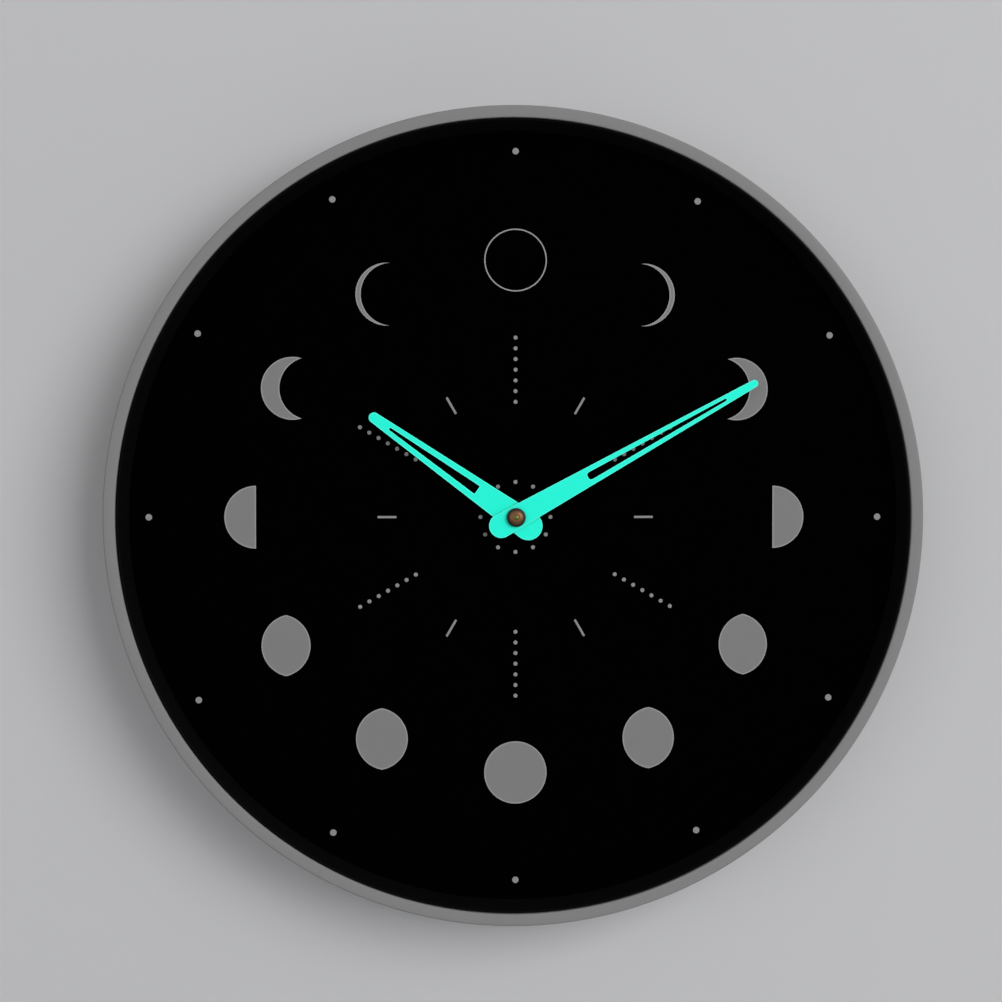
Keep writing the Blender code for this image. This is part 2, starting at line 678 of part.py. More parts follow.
def make_dial():
    radius = WALL_RADIUS - HOOK_REACH
    dial = place(
        "dial", add_tube(bmesh.new(), HOLE_RADIUS, radius, DIAL_FRONT, DIAL_BACK, RING_SIDES), dial_black()
    )
    relief = bmesh.new()
    for loops, centre in dial_marks():
        add_plate(relief, [moved(loop, centre) for loop in loops], DIAL_FRONT - MARK_RELIEF, DIAL_FRONT + MARK_ROOT)
    raised = join(dial, relief)
    raised.data.materials[0] = mark_grey()
    dial.modifiers[-1].material_mode = "TRANSFER"


def movement_outline(margin=0.0):
    return rounded_rectangle(
        -MOVEMENT_HALF_WIDTH - margin, MOVEMENT_HALF_WIDTH + margin,
        MOVEMENT_BOTTOM - margin, MOVEMENT_TOP + margin, CORNER_RADIUS + margin,
    )


def hanger_screw_axes():
    height = NAIL_DROP - NAIL_ENTRY_DROP / 2
    return [(side * HANGER_SCREW_SPACING / 2, height) for side in (-1, 1)]


def make_back_plate():
    rib_back = PLATE_BACK + PLATE_RIB_HEIGHT
    inner, outer = RIM_RIB_RADIUS - PLATE_RIB_THICKNESS, RIM_RIB_RADIUS
    profile = [
        (HOLE_RADIUS, PLATE_FRONT), (PLATE_RADIUS, PLATE_FRONT), (PLATE_RADIUS, PLATE_BACK), (outer, PLATE_BACK),
        (outer, rib_back), (inner, rib_back), (inner, PLATE_BACK), (HOLE_RADIUS, PLATE_BACK),
    ]
    plate = place("back_plate", add_turned(bmesh.new(), profile, RING_SIDES), moulded_black())
    buried = PLATE_BACK - PLATE_THICKNESS / 3
    ribs = bmesh.new()
    start = math.hypot(MOVEMENT_HALF_WIDTH, max(MOVEMENT_TOP, -MOVEMENT_BOTTOM)) + RIB_CLEARANCE
    reach = (inner + outer) / 2
    section = [
        (start, buried), (reach, buried), (reach, rib_back - FIT_GAP),
        (start + PLATE_RIB_HEIGHT, rib_back - FIT_GAP),
    ]
    for i in range(PLATE_RIB_COUNT):
        add_radial(ribs, section, PLATE_RIB_THICKNESS / 2, (i + 0.5) * 2 * math.pi / PLATE_RIB_COUNT)
    join(plate, ribs)
    loops = [movement_outline(FIT_GAP + MOVEMENT_FRAME_WALL), movement_outline(FIT_GAP)]
    join(plate, add_plate(bmesh.new(), loops, buried, PLATE_BACK + MOVEMENT_FRAME_HEIGHT))
    posts = bmesh.new()
    hole = SCREW_SHANK_RADIUS + RUNNING_GAP
    hole_front = POST_BACK - SCREW_LENGTH - FIT_GAP
    for axis in hanger_screw_axes():
        post = [
            (0.0, hole_front), (hole, hole_front), (hole, POST_BACK), (POST_RADIUS, POST_BACK),
            (POST_RADIUS + PLATE_THICKNESS / 2, PLATE_BACK), (POST_RADIUS, buried), (0.0, buried),
        ]
        add_turned(posts, post, SMALL_ROUND_SIDES, axis)
    join(plate, posts)


# Hanger

def keyhole():
    """A round entry with a narrower slot above it, where the nail comes to rest."""
    entry = (0.0, NAIL_DROP - NAIL_ENTRY_DROP)
    side = math.asin(NAIL_SLOT_RADIUS / NAIL_ENTRY_RADIUS)
    top = arc(NAIL_SLOT_RADIUS, 0.0, math.pi, 8, (0.0, NAIL_DROP))
    return top + arc(NAIL_ENTRY_RADIUS, math.pi / 2 + side, 2.5 * math.pi - side, 16, entry)


def make_hanger():
    side = HANGER_SCREW_SPACING / 2 + HANGER_MARGIN
    bottom = NAIL_DROP - NAIL_ENTRY_DROP - NAIL_ENTRY_RADIUS - HANGER_EDGE
    top = NAIL_DROP + NAIL_SLOT_RADIUS + HANGER_EDGE
    loops = [rounded_rectangle(-side, side, bottom, top, HANGER_MARGIN), keyhole()]
    for axis in hanger_screw_axes():
        loops.append(circle(SCREW_SHANK_RADIUS + FIT_GAP, SMALL_ROUND_SIDES, axis))
    place("hanger_plate", add_plate(bmesh.new(), loops, HANGER_FRONT, HANGER_BACK), steel())
    head = HANGER_BACK + FIT_GAP
    tip = POST_BACK - SCREW_LENGTH
    profile = [
        (0.0, tip), (SCREW_SHANK_RADIUS, tip + SCREW_SHANK_RADIUS), (SCREW_SHANK_RADIUS, head),
        (SCREW_HEAD_RADIUS, head), (SCREW_HEAD_RADIUS, head + SCREW_HEAD_HEIGHT / 2),
        (SCREW_HEAD_RADIUS * 0.6, head + SCREW_HEAD_HEIGHT), (0.0, head + SCREW_HEAD_HEIGHT),
    ]
    for side, axis in zip(("left", "right"), hanger_screw_axes()):
        place(f"hanger_screw_{side}", add_turned(bmesh.new(), profile, SMALL_ROUND_SIDES), steel(), on_axis(axis))


# Clamp of the movement

def make_clamp():
    hole = BUSH_RADIUS + RUNNING_GAP
    rubber = add_tube(
        bmesh.new(), HOLE_RADIUS, BUSH_RADIUS + RUBBER_WIDTH, RUBBER_FRONT, RUBBER_FRONT + RUBBER_THICKNESS,
        ROUND_SIDES,
    )
    place("rubber_washer", rubber, finish("rubber", (0.01, 0.01, 0.01), 0.9))
    washer = add_tube(
        bmesh.new(), hole, BUSH_RADIUS + WASHER_WIDTH, WASHER_BACK - WASHER_THICKNESS, WASHER_BACK, ROUND_SIDES
    )
    place("fixing_washer", washer, black_steel())
    corner = (BUSH_RADIUS + NUT_WALL) / math.cos(math.pi / 6)
    loops = [circle(corner, 6), circle(hole, ROUND_SIDES)]
    place("fixing_nut", add_plate(bmesh.new(), loops, NUT_BACK - NUT_THICKNESS, NUT_BACK), black_steel())


# Movement case

def make_movement_case():
    material = finish("movement_grey", (0.03, 0.03, 0.032), 0.5)
    rear = LID_FRONT - FIT_GAP
    case = place("movement_case", add_plate(bmesh.new(), [movement_outline()], MOVEMENT_FRONT, rear), material)
    floor = MOVEMENT_FRONT + MOVEMENT_WALL
    beyond = rear + MOVEMENT_WALL
    train = rectangle(-POCKET_HALF_WIDTH, POCKET_HALF_WIDTH, -TRAIN_DROP, POCKET_TOP)
    bay = rectangle(-POCKET_HALF_WIDTH, POCKET_HALF_WIDTH, BAY_BOTTOM, BAY_TOP)
    pockets = bmesh.new()
    for loop in (train, bay):
        add_plate(pockets, [loop], floor, beyond)
    cut(case, pockets)
    slots = bmesh.new()
    strip = CONTACT_ROOM / 2 + CONTACT_THICKNESS / 2 + FIT_GAP
    for side in (-1, 1):
        edge, inner = side * (POCKET_HALF_WIDTH + FIT_GAP), side * (POCKET_HALF_WIDTH - 2 * strip)
        slot = rectangle(min(edge, inner), max(edge, inner), BAY_TOP - FIT_GAP, FIT_GAP - TRAIN_DROP)
        add_plate(slots, [slot], CONTACT_FRONT - FIT_GAP, beyond)
    cut(case, slots)
    join(case, add_cylinder(bmesh.new(), BUSH_RADIUS, BUSH_FRONT, floor - MOVEMENT_WALL / 3, ROUND_SIDES))
    posts = bmesh.new()
    for x in (-1, 1):
        for z in (-TRAIN_DROP, POCKET_TOP):
            inset = math.copysign(MIDDLE_PLATE_POST_RADIUS / 2, z)
            centre = (x * (POCKET_HALF_WIDTH - MIDDLE_PLATE_POST_RADIUS / 2), z - inset)
            add_cylinder(
                posts, MIDDLE_PLATE_POST_RADIUS, floor - MOVEMENT_WALL / 2, MIDDLE_PLATE_FRONT - FIT_GAP,
                SMALL_ROUND_SIDES, centre,
            )
    join(case, posts)
    bores = add_cylinder(
        bmesh.new(), BUSH_BORE_RADIUS, BUSH_FRONT - MOVEMENT_WALL, floor + MOVEMENT_WALL, ROUND_SIDES
    )
    add_cylinder(
        bores, MOTION_ARBOR_RADIUS + RUNNING_GAP, floor - MOVEMENT_WALL * 0.6, floor + MOVEMENT_WALL,
        SMALL_ROUND_SIDES, MOTION_AXIS,
    )
    cut(case, bores)


def make_movement_lid():
    outline = rounded_rectangle(
        -MOVEMENT_HALF_WIDTH, MOVEMENT_HALF_WIDTH, BAY_TOP + FIT_GAP, MOVEMENT_TOP, CORNER_RADIUS / 2
    )
    hole = circle(MOTION_ARBOR_RADIUS + RUNNING_GAP, SMALL_ROUND_SIDES, MOTION_AXIS)
    material = finish("lid_grey", (0.035, 0.035, 0.038), 0.5)
    lid = place("movement_lid", add_plate(bmesh.new(), [outline, hole], LID_FRONT, MOVEMENT_BACK), material)
    bosses, bearings = bmesh.new(), bmesh.new()
    for axis in TRAIN_AXES:
        add_cylinder(
            bosses, PIVOT_BOSS_RADIUS, BOSS_FRONT, LID_FRONT + MOVEMENT_WALL / 3, SMALL_ROUND_SIDES, axis
        )
        add_cylinder(
            bearings, ARBOR_RADIUS + RUNNING_GAP, BOSS_FRONT - FIT_GAP, LID_FRONT + FIT_GAP,
            SMALL_ROUND_SIDES, axis,
        )
    join(lid, bosses)
    cut(lid, bearings)


def make_middle_plate():
    left, right = -POCKET_HALF_WIDTH + FIT_GAP, POCKET_HALF_WIDTH - FIT_GAP
    outline = rectangle(left, right, FIT_GAP - TRAIN_DROP, POCKET_TOP - FIT_GAP)
    loops = [
        outline,
        circle(MINUTE_PIPE_RADIUS + RUNNING_GAP, ROUND_SIDES),
        circle(MOTION_ARBOR_RADIUS + RUNNING_GAP, SMALL_ROUND_SIDES, MOTION_AXIS),
    ]
    for axis in TRAIN_AXES[1:]:
        loops.append(circle(ARBOR_RADIUS + RUNNING_GAP, SMALL_ROUND_SIDES, axis))
    plate = place(
        "middle_plate", add_plate(bmesh.new(), loops, MIDDLE_PLATE_FRONT, MIDDLE_PLATE_BACK), white_plastic()
    )
    posts = bmesh.new()
    buried = MIDDLE_PLATE_BACK - MIDDLE_PLATE_THICKNESS / 2
    leg = STATOR_LEG / 2
    for x in (STATOR_LEFT + leg, STATOR_RIGHT - leg):
        add_cylinder(posts, leg * 0.7, buried, stator_front() - FIT_GAP, SMALL_ROUND_SIDES, (x, COIL_HEIGHT))
    for z in (BOARD_BOTTOM + leg, BOARD_TOP - leg):
        add_cylinder(
            posts, leg * 0.6, buried, MOVEMENT_FRONT + BOARD_LAYER - FIT_GAP, SMALL_ROUND_SIDES,
            (BOARD_LEFT + leg, z),
        )
    join(plate, posts)


# Wheels, pinions and pipes

def wheel_layer(offset):
    front = MOVEMENT_FRONT + offset
    return front, front + WHEEL_THICKNESS


def pinion_layer(offset):
    front, back = wheel_layer(offset)
    return front - PINION_OVERHANG, back + PINION_OVERHANG


def train_phases():
    """The phase of each wheel in the driving train, from the rotor's pinion down to the centre wheel."""
    to_intermediate = ROTOR_DIRECTION + math.pi
    to_centre = INTERMEDIATE_DIRECTION + math.pi
    return {
        "intermediate": meshed_phase(to_intermediate, 0.0, TRAIN_LEAVES, INTERMEDIATE_TEETH),
        "second": meshed_phase(to_centre, 0.0, TRAIN_LEAVES, SECOND_TEETH),
        "third": meshed_phase(THIRD_DIRECTION, 0.0, TRAIN_LEAVES, THIRD_TEETH),
        "centre": meshed_phase(THIRD_DIRECTION + math.pi, 0.0, TRAIN_LEAVES, CENTRE_TEETH),
    }


def make_train_wheel(name, axis, arbor_front, wheel, pinion):
    """An arbor with a toothed wheel and a leaf pinion. Each of the two is (outline, layer)."""
    material = white_plastic()
    arbor = add_cylinder(bmesh.new(), ARBOR_RADIUS, arbor_front, ARBOR_BACK, SMALL_ROUND_SIDES)
    made = place(name, arbor, material, on_axis(axis))
    for outline, (front, back) in filter(None, (wheel, pinion)):
        join(made, add_plate(bmesh.new(), [outline], front, back))
    return made


def make_train():
    phases = train_phases()

    def leaves(module, layer):
        return gear(TRAIN_LEAVES, module, 0.0, LEAF_TOOTH), pinion_layer(layer)

    def toothed(teeth, module, phase, layer):
        return gear(teeth, module, phase, WHEEL_TOOTH), wheel_layer(layer)

    make_train_wheel("rotor_pinion", ROTOR_AXIS, ARBOR_FRONT, None, leaves(ROTOR_MODULE, INTERMEDIATE_WHEEL_LAYER))
    make_train_wheel(
        "intermediate_wheel", INTERMEDIATE_AXIS, ARBOR_FRONT,
        toothed(INTERMEDIATE_TEETH, ROTOR_MODULE, phases["intermediate"], INTERMEDIATE_WHEEL_LAYER),
        leaves(SECOND_MODULE, SECOND_WHEEL_LAYER),
    )
    make_train_wheel(
        "second_wheel", (0.0, 0.0), THREAD_FRONT + RUNNING_GAP,
        toothed(SECOND_TEETH, SECOND_MODULE, phases["second"], SECOND_WHEEL_LAYER),
        leaves(THIRD_MODULE, THIRD_WHEEL_LAYER),
    )
    make_train_wheel(
        "third_wheel", THIRD_AXIS, ARBOR_FRONT,
        toothed(THIRD_TEETH, THIRD_MODULE, phases["third"], THIRD_WHEEL_LAYER),
        leaves(CENTRE_MODULE, CENTRE_WHEEL_LAYER),
    )
    front, back = wheel_layer(CENTRE_WHEEL_LAYER)
    seat = MINUTE_PIPE_RADIUS - RUNNING_GAP
    loops = [gear(CENTRE_TEETH, CENTRE_MODULE, phases["centre"], WHEEL_TOOTH), circle(seat, ROUND_SIDES)]
    place("centre_wheel", add_plate(bmesh.new(), loops, front, back), white_plastic())


def make_motion_work():
    """The minute pipe, the setting wheel and the hour pipe, which turn the hands 12 to 1."""
    motion_phase = meshed_phase(MOTION_DIRECTION, 0.0, MINUTE_LEAVES, MOTION_TEETH)
    hour_phase = meshed_phase(MOTION_DIRECTION + math.pi, 0.0, MOTION_LEAVES, HOUR_TEETH)

    bore = ARBOR_RADIUS + RUNNING_GAP
    wheel_front, wheel_back = wheel_layer(CENTRE_WHEEL_LAYER)
    seat_radius = MINUTE_PIPE_RADIUS - 2 * RUNNING_GAP
    shoulder = wheel_front - RUNNING_GAP / 2
    clip = wheel_back + RUNNING_GAP / 2
    flat_back = MINUTE_HAND_BACK + FIT_GAP
    core = MINUTE_FLAT - RUNNING_GAP / 2
    pipe = [
        (bore, clip + RUNNING_GAP), (MINUTE_PIPE_RADIUS, clip + RUNNING_GAP), (MINUTE_PIPE_RADIUS, clip),
        (seat_radius, clip), (seat_radius, shoulder), (MINUTE_PIPE_RADIUS, shoulder),
        (MINUTE_PIPE_RADIUS, flat_back), (core, flat_back), (core, THREAD_FRONT), (bore, THREAD_FRONT),
    ]
    minute_pipe = place("minute_pipe", add_turned(bmesh.new(), pipe, PIPE_SIDES), brass())
    keyed = turned_round(double_flat(MINUTE_PIPE_RADIUS, MINUTE_FLAT), minute_angle())
    hollow = circle(bore + RUNNING_GAP / 2, PIPE_SIDES)
    join(minute_pipe, add_plate(bmesh.new(), [keyed, hollow], MINUTE_HAND_FRONT - FIT_GAP / 2, flat_back + FIT_GAP))
    thread = MINUTE_PIPE_RADIUS - RUNNING_GAP
    join(minute_pipe, add_tube(bmesh.new(), bore + RUNNING_GAP / 2, thread, THREAD_FRONT + RUNNING_GAP,
                               CAP_NUT_BACK, PIPE_SIDES))
    front, back = pinion_layer(MOTION_WHEEL_LAYER)
    leaves = [gear(MINUTE_LEAVES, FINE_MODULE, 0.0, LEAF_TOOTH), circle(MINUTE_PIPE_RADIUS - RUNNING_GAP, PIPE_SIDES)]
    join(minute_pipe, add_plate(bmesh.new(), leaves, front, back))

    arbor = add_cylinder(
        bmesh.new(), MOTION_ARBOR_RADIUS, MOVEMENT_FRONT + MOVEMENT_WALL / 2, knob_front() + KNOB_THICKNESS / 2,
        SMALL_ROUND_SIDES,
    )
    motion_wheel = place("motion_wheel", arbor, white_plastic(), on_axis(MOTION_AXIS))
    front, back = wheel_layer(MOTION_WHEEL_LAYER)
    join(motion_wheel, add_plate(bmesh.new(), [gear(MOTION_TEETH, FINE_MODULE, motion_phase, WHEEL_TOOTH)], front, back))
    front, back = pinion_layer(HOUR_WHEEL_LAYER)
    join(motion_wheel, add_plate(bmesh.new(), [gear(MOTION_LEAVES, COARSE_MODULE, 0.0, LEAF_TOOTH)], front, back))

    inner = MINUTE_PIPE_RADIUS + RUNNING_GAP
    front, back = wheel_layer(HOUR_WHEEL_LAYER)
    hour_wheel = place(
        "hour_wheel", add_tube(bmesh.new(), inner, HOUR_PIPE_RADIUS, HOUR_PIPE_FRONT, back + RUNNING_GAP,
                               PIPE_SIDES), white_plastic()
    )
    loops = [gear(HOUR_TEETH, COARSE_MODULE, hour_phase, WHEEL_TOOTH), circle(inner + PIPE_WALL / 2, PIPE_SIDES)]
    join(hour_wheel, add_plate(bmesh.new(), loops, front, back))


def knob_front():
    return MOVEMENT_BACK + FIT_GAP


def make_setting_knob():
    points = []
    for i in range(4 * KNOB_SCALLOPS):
        angle = i * math.pi / 2 / KNOB_SCALLOPS
        points.append(around(KNOB_RADIUS - KNOB_SCALLOP_DEPTH * (1 - math.cos(KNOB_SCALLOPS * angle)) / 2, angle))
    front = knob_front()
    knob = place(
        "setting_knob", add_plate(bmesh.new(), [points], front, front + KNOB_THICKNESS), white_plastic(),
        on_axis(MOTION_AXIS),
    )
    socket = MOTION_ARBOR_RADIUS + RUNNING_GAP
    cut(knob, add_cylinder(bmesh.new(), socket, front - FIT_GAP, front + KNOB_THICKNESS / 2 + FIT_GAP,
                           SMALL_ROUND_SIDES))


# Stepping motor, circuit and battery

def stator_front():
    """The stator's plane is the middle of the magnet, which ends below the intermediate wheel."""
    return magnet_back() - ROTOR_LENGTH / 2 - STATOR_THICKNESS / 2


def magnet_back():
    return MOVEMENT_FRONT + INTERMEDIATE_WHEEL_LAYER - 2 * PINION_OVERHANG - FIT_GAP


def make_motor():
    copper = finish("copper", (0.42, 0.14, 0.05), 0.35, 0.8)
    front = stator_front()
    back = front + STATOR_THICKNESS
    hole = ROTOR_RADIUS + STATOR_GAP
    bottom, top = ROTOR_AXIS[1] - hole - STATOR_NECK, ROTOR_AXIS[1] + hole + STATOR_NECK
    crown = COIL_HEIGHT + COIL_CORE_WIDTH / 2
    outline = [
        (STATOR_LEFT, bottom), (STATOR_RIGHT, bottom), (STATOR_RIGHT, crown),
        (STATOR_RIGHT - STATOR_LEG, crown), (STATOR_RIGHT - STATOR_LEG, top),
        (STATOR_LEFT + STATOR_LEG, top), (STATOR_LEFT + STATOR_LEG, crown), (STATOR_LEFT, crown),
    ]
    loops = [outline, circle(hole, ROUND_SIDES, ROTOR_AXIS)]
    place("stator", add_plate(bmesh.new(), loops, front, back), steel())

    magnet = add_tube(
        bmesh.new(), ARBOR_RADIUS + RUNNING_GAP, ROTOR_RADIUS, magnet_back() - ROTOR_LENGTH, magnet_back(),
        ROUND_SIDES,
    )
    place("rotor_magnet", magnet, finish("magnet", (0.08, 0.08, 0.085), 0.4, 0.7), on_axis(ROTOR_AXIS))

    core_front = back + FIT_GAP
    core = rectangle(
        STATOR_LEFT, STATOR_RIGHT, COIL_HEIGHT - COIL_CORE_WIDTH / 2, COIL_HEIGHT + COIL_CORE_WIDTH / 2
    )
    place("coil_core", add_plate(bmesh.new(), [core], core_front, core_front + COIL_CORE_THICKNESS), steel())

    left, right = STATOR_LEFT + STATOR_LEG + FIT_GAP, STATOR_RIGHT - STATOR_LEG - FIT_GAP
    centre = ((left + right) / 2, core_front + COIL_CORE_THICKNESS / 2, COIL_HEIGHT)
    half = (right - left) / 2
    core_hole = rectangle(
        -COIL_CORE_THICKNESS / 2 - FIT_GAP, COIL_CORE_THICKNESS / 2 + FIT_GAP,
        -COIL_CORE_WIDTH / 2 - FIT_GAP, COIL_CORE_WIDTH / 2 + FIT_GAP,
    )
    sleeve_x, sleeve_z = core_hole[1][0] + COIL_FLANGE / 2, core_hole[2][1] + COIL_FLANGE / 2
    sleeve = rectangle(-sleeve_x, sleeve_x, -sleeve_z, sleeve_z)
    flange = rectangle(-COIL_SIDE, COIL_SIDE, -COIL_SIDE, COIL_SIDE)
    bobbin = place(
        "coil_bobbin", add_plate(bmesh.new(), [sleeve, core_hole], -half, half), white_plastic(), centre,
        -math.pi / 2,
    )
    flanges = bmesh.new()
    flange_hole = rectangle(
        -sleeve_x + COIL_FLANGE / 4, sleeve_x - COIL_FLANGE / 4, -sleeve_z + COIL_FLANGE / 4,
        sleeve_z - COIL_FLANGE / 4,
    )
    for start in (-half - FIT_GAP / 3, half + FIT_GAP / 3 - COIL_FLANGE):
        add_plate(flanges, [flange, flange_hole], start, start + COIL_FLANGE)
    join(bobbin, flanges)
    wound = COIL_SIDE - COIL_FLANGE / 2
    outer = rounded_rectangle(-wound, wound, -wound, wound, wound / 3)
    inner = rectangle(-sleeve_x - FIT_GAP, sleeve_x + FIT_GAP, -sleeve_z - FIT_GAP / 3, sleeve_z + FIT_GAP / 3)
    room = half - COIL_FLANGE - FIT_GAP
    place("coil_winding", add_plate(bmesh.new(), [outer, inner], -room, room), copper, centre, -math.pi / 2)


def make_circuit():
    front = MOVEMENT_FRONT + BOARD_LAYER
    back = front + BOARD_THICKNESS
    board = rectangle(BOARD_LEFT, BOARD_RIGHT, BOARD_BOTTOM, BOARD_TOP)
    green = finish("board_green", (0.02, 0.14, 0.06), 0.4)
    place("circuit_board", add_plate(bmesh.new(), [board], front, back), green)
    middle = (BOARD_LEFT + BOARD_RIGHT) / 2
    seat = back + FIT_GAP
    dome = [(0.0, seat), (CHIP_RADIUS, seat)]
    for radius, rise in arc(1.0, math.pi / 8, math.pi / 2, 3):
        dome.append((radius * CHIP_RADIUS, seat + rise * CHIP_HEIGHT))
    dome[-1] = (0.0, seat + CHIP_HEIGHT)
    chip = add_turned(bmesh.new(), dome, SMALL_ROUND_SIDES)
    place("chip", chip, finish("epoxy", (0.01, 0.01, 0.01), 0.3),
          (middle, 0.0, BOARD_BOTTOM + CHIP_RADIUS + CRYSTAL_RADIUS))
    can = add_cylinder(bmesh.new(), CRYSTAL_RADIUS, -CRYSTAL_LENGTH / 2, CRYSTAL_LENGTH / 2, SMALL_ROUND_SIDES)
    place("quartz_crystal", can, steel(), (middle, seat + CRYSTAL_RADIUS, BOARD_TOP - 2 * CRYSTAL_RADIUS),
          math.pi / 2)


def strip(path, thickness):
    """The outline of a bent strip: its path offset by half its thickness to each side."""
    left, right = [], []
    for i, (x, z) in enumerate(path):
        before, after = path[max(i - 1, 0)], path[min(i + 1, len(path) - 1)]
        headings = []
        for start, end in ((before, (x, z)), ((x, z), after)):
            if start != end:
                length = math.dist(start, end)
                headings.append(((end[0] - start[0]) / length, (end[1] - start[1]) / length))
        normals = [(-b, a) for a, b in headings]
        sum_x, sum_z = sum(n[0] for n in normals), sum(n[1] for n in normals)
        scale = len(normals) / (sum_x ** 2 + sum_z ** 2) * thickness / 2
        left.append((x + sum_x * scale, z + sum_z * scale))
        right.append((x - sum_x * scale, z - sum_z * scale))
    return left + right[::-1]


def make_battery():
    half = BATTERY_LENGTH / 2
    edge = FIT_GAP
    shoulder = half - BATTERY_NUB_LENGTH
    profile = [
        (0.0, -half), (BATTERY_RADIUS - edge, -half), (BATTERY_RADIUS, edge - half), (BATTERY_RADIUS, shoulder - edge),
        (BATTERY_RADIUS - edge, shoulder), (BATTERY_NUB_RADIUS, shoulder), (BATTERY_NUB_RADIUS, half), (0.0, half),
    ]
    place("battery", add_turned(bmesh.new(), profile, ROUND_SIDES), finish("battery", (0.05, 0.05, 0.06), 0.35, 0.4),
          (CONTACT_ROOM - CONTACT_THICKNESS - 2 * FIT_GAP, BATTERY_DEPTH, BATTERY_HEIGHT), -math.pi / 2)


def make_contacts():
    spring = finish("contact", (0.6, 0.6, 0.58), 0.25, 1.0)
    back = CONTACT_FRONT + CONTACT_WIDTH
    wall = POCKET_HALF_WIDTH - FIT_GAP - CONTACT_THICKNESS / 2
    foot = BAY_BOTTOM + FIT_GAP
    run = FIT_GAP + CONTACT_THICKNESS / 2 - TRAIN_DROP
    board_end = BOARD_LEFT + (BOARD_RIGHT - BOARD_LEFT) / 2
    plus = [(wall, foot), (wall, run), (board_end, run), (board_end, BOARD_BOTTOM - FIT_GAP)]
    place("contact_plus", add_plate(bmesh.new(), [strip(plus, CONTACT_THICKNESS)], CONTACT_FRONT, back), spring)
    battery_end = CONTACT_ROOM - CONTACT_THICKNESS - 2 * FIT_GAP - BATTERY_LENGTH / 2
    bulge = battery_end - FIT_GAP - CONTACT_THICKNESS / 2
    minus = [
        (-wall, foot), (bulge, BATTERY_HEIGHT - CONTACT_WIDTH / 4), (bulge, BATTERY_HEIGHT + CONTACT_WIDTH / 4),
        (-wall, BAY_TOP - CONTACT_WIDTH / 4), (-wall, BOARD_BOTTOM + CONTACT_WIDTH),
    ]
    place("contact_minus", add_plate(bmesh.new(), [strip(minus, CONTACT_THICKNESS)], CONTACT_FRONT, back), spring)


# Hands

def minute_angle():
    return hour_angle(REST_MINUTE / 5)


def make_hands():
    blade = hand_outline(HOUR_HAND_LENGTH, HOUR_HAND_WIDTH, HOUR_HAND_TAPER)
    end = HOUR_HAND_LENGTH - HOUR_SLOT_INSET
    slot = slot_outline(HOUR_SLOT_START, end, HOUR_SLOT_WIDTH, HOUR_SLOT_TIP_WIDTH)
    hole = circle(HOUR_PIPE_RADIUS + RUNNING_GAP, ROUND_SIDES)
    angle = hour_angle(REST_HOUR + REST_MINUTE / 60)
    loops = [turned_round(loop, angle) for loop in (blade, slot, hole)]
    hour_hand = place("hour_hand", add_plate(bmesh.new(), loops, HOUR_HAND_FRONT, HOUR_HAND_BACK), hand_turquoise())
    collet = HOUR_PIPE_RADIUS + RUNNING_GAP
    join(hour_hand, add_tube(bmesh.new(), collet + RUNNING_GAP / 4, collet + PIPE_WALL,
                             HOUR_HAND_BACK - HAND_THICKNESS / 2, HOUR_HAND_BACK + HAND_THICKNESS, ROUND_SIDES))

    blade = hand_outline(MINUTE_HAND_LENGTH, MINUTE_HAND_WIDTH, MINUTE_HAND_TAPER)
    end = MINUTE_HAND_LENGTH - MINUTE_SLOT_INSET
    slot = slot_outline(MINUTE_SLOT_START, end, MINUTE_SLOT_WIDTH, MINUTE_SLOT_TIP_WIDTH)
    keyed = double_flat(MINUTE_PIPE_RADIUS + RUNNING_GAP, MINUTE_FLAT + RUNNING_GAP)
    loops = [turned_round(loop, minute_angle()) for loop in (blade, slot, keyed)]
    place("minute_hand", add_plate(bmesh.new(), loops, MINUTE_HAND_FRONT, MINUTE_HAND_BACK), hand_turquoise())


def make_cap_nut():
    """A closed brass nut with a thin flange and a domed top."""
    thread = MINUTE_PIPE_RADIUS
    front = CAP_NUT_BACK - CAP_HEIGHT
    rim = CAP_NUT_BACK - CAP_FLANGE
    bottom = THREAD_FRONT - FIT_GAP
    dome = MINUTE_PIPE_RADIUS + CAP_NUT_WALL
    flange = dome + CAP_NUT_RIM
    profile = [
        (0.0, bottom), (thread, bottom), (thread, CAP_NUT_BACK), (flange, CAP_NUT_BACK), (flange, rim), (dome, rim),
    ]
    depth = rim - front
    for radius, rise in arc(1.0, math.pi / 10, math.pi / 2, 4):
        profile.append((radius * dome, rim - rise * depth))
    profile[-1] = (0.0, front)
    place("cap_nut", add_turned(bmesh.new(), profile, ROUND_SIDES), brass())


def main():
    for obj in list(bpy.data.objects):
        bpy.data.objects.remove(obj, do_unlink=True)
    axis = bpy.data.objects.new("dial_axis", None)
    bpy.context.scene.collection.objects.link(axis)
    axis.location = (0.0, 0.0, -NAIL_DROP)
    make_case_ring()
    make_bezel_ring()
    make_dial()
    make_back_plate()
    make_hanger()
    make_clamp()
    make_movement_case()
    make_movement_lid()
    make_middle_plate()
    make_train()
    make_motion_work()
    make_setting_knob()
    make_motor()
    make_circuit()
    make_battery()
    make_contacts()
    make_hands()
    make_cap_nut()
    sharpen()


main()
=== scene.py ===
"""Dresses the moon phase wall clock: pieces, finishes, studio and camera round its CAD frame.

Lengths are in metres, with +Z up and the dial facing -Y. Flat pieces are drawn as (x, z) points
seen from the front. The wall plane is at y = 0, and angles run anticlockwise from +X.
"""

import logging
import math
from dataclasses import dataclass
from enum import Enum
from typing import Callable, Iterable, Sequence

import bmesh
import bpy
import numpy as np
from mathutils import Matrix, Vector


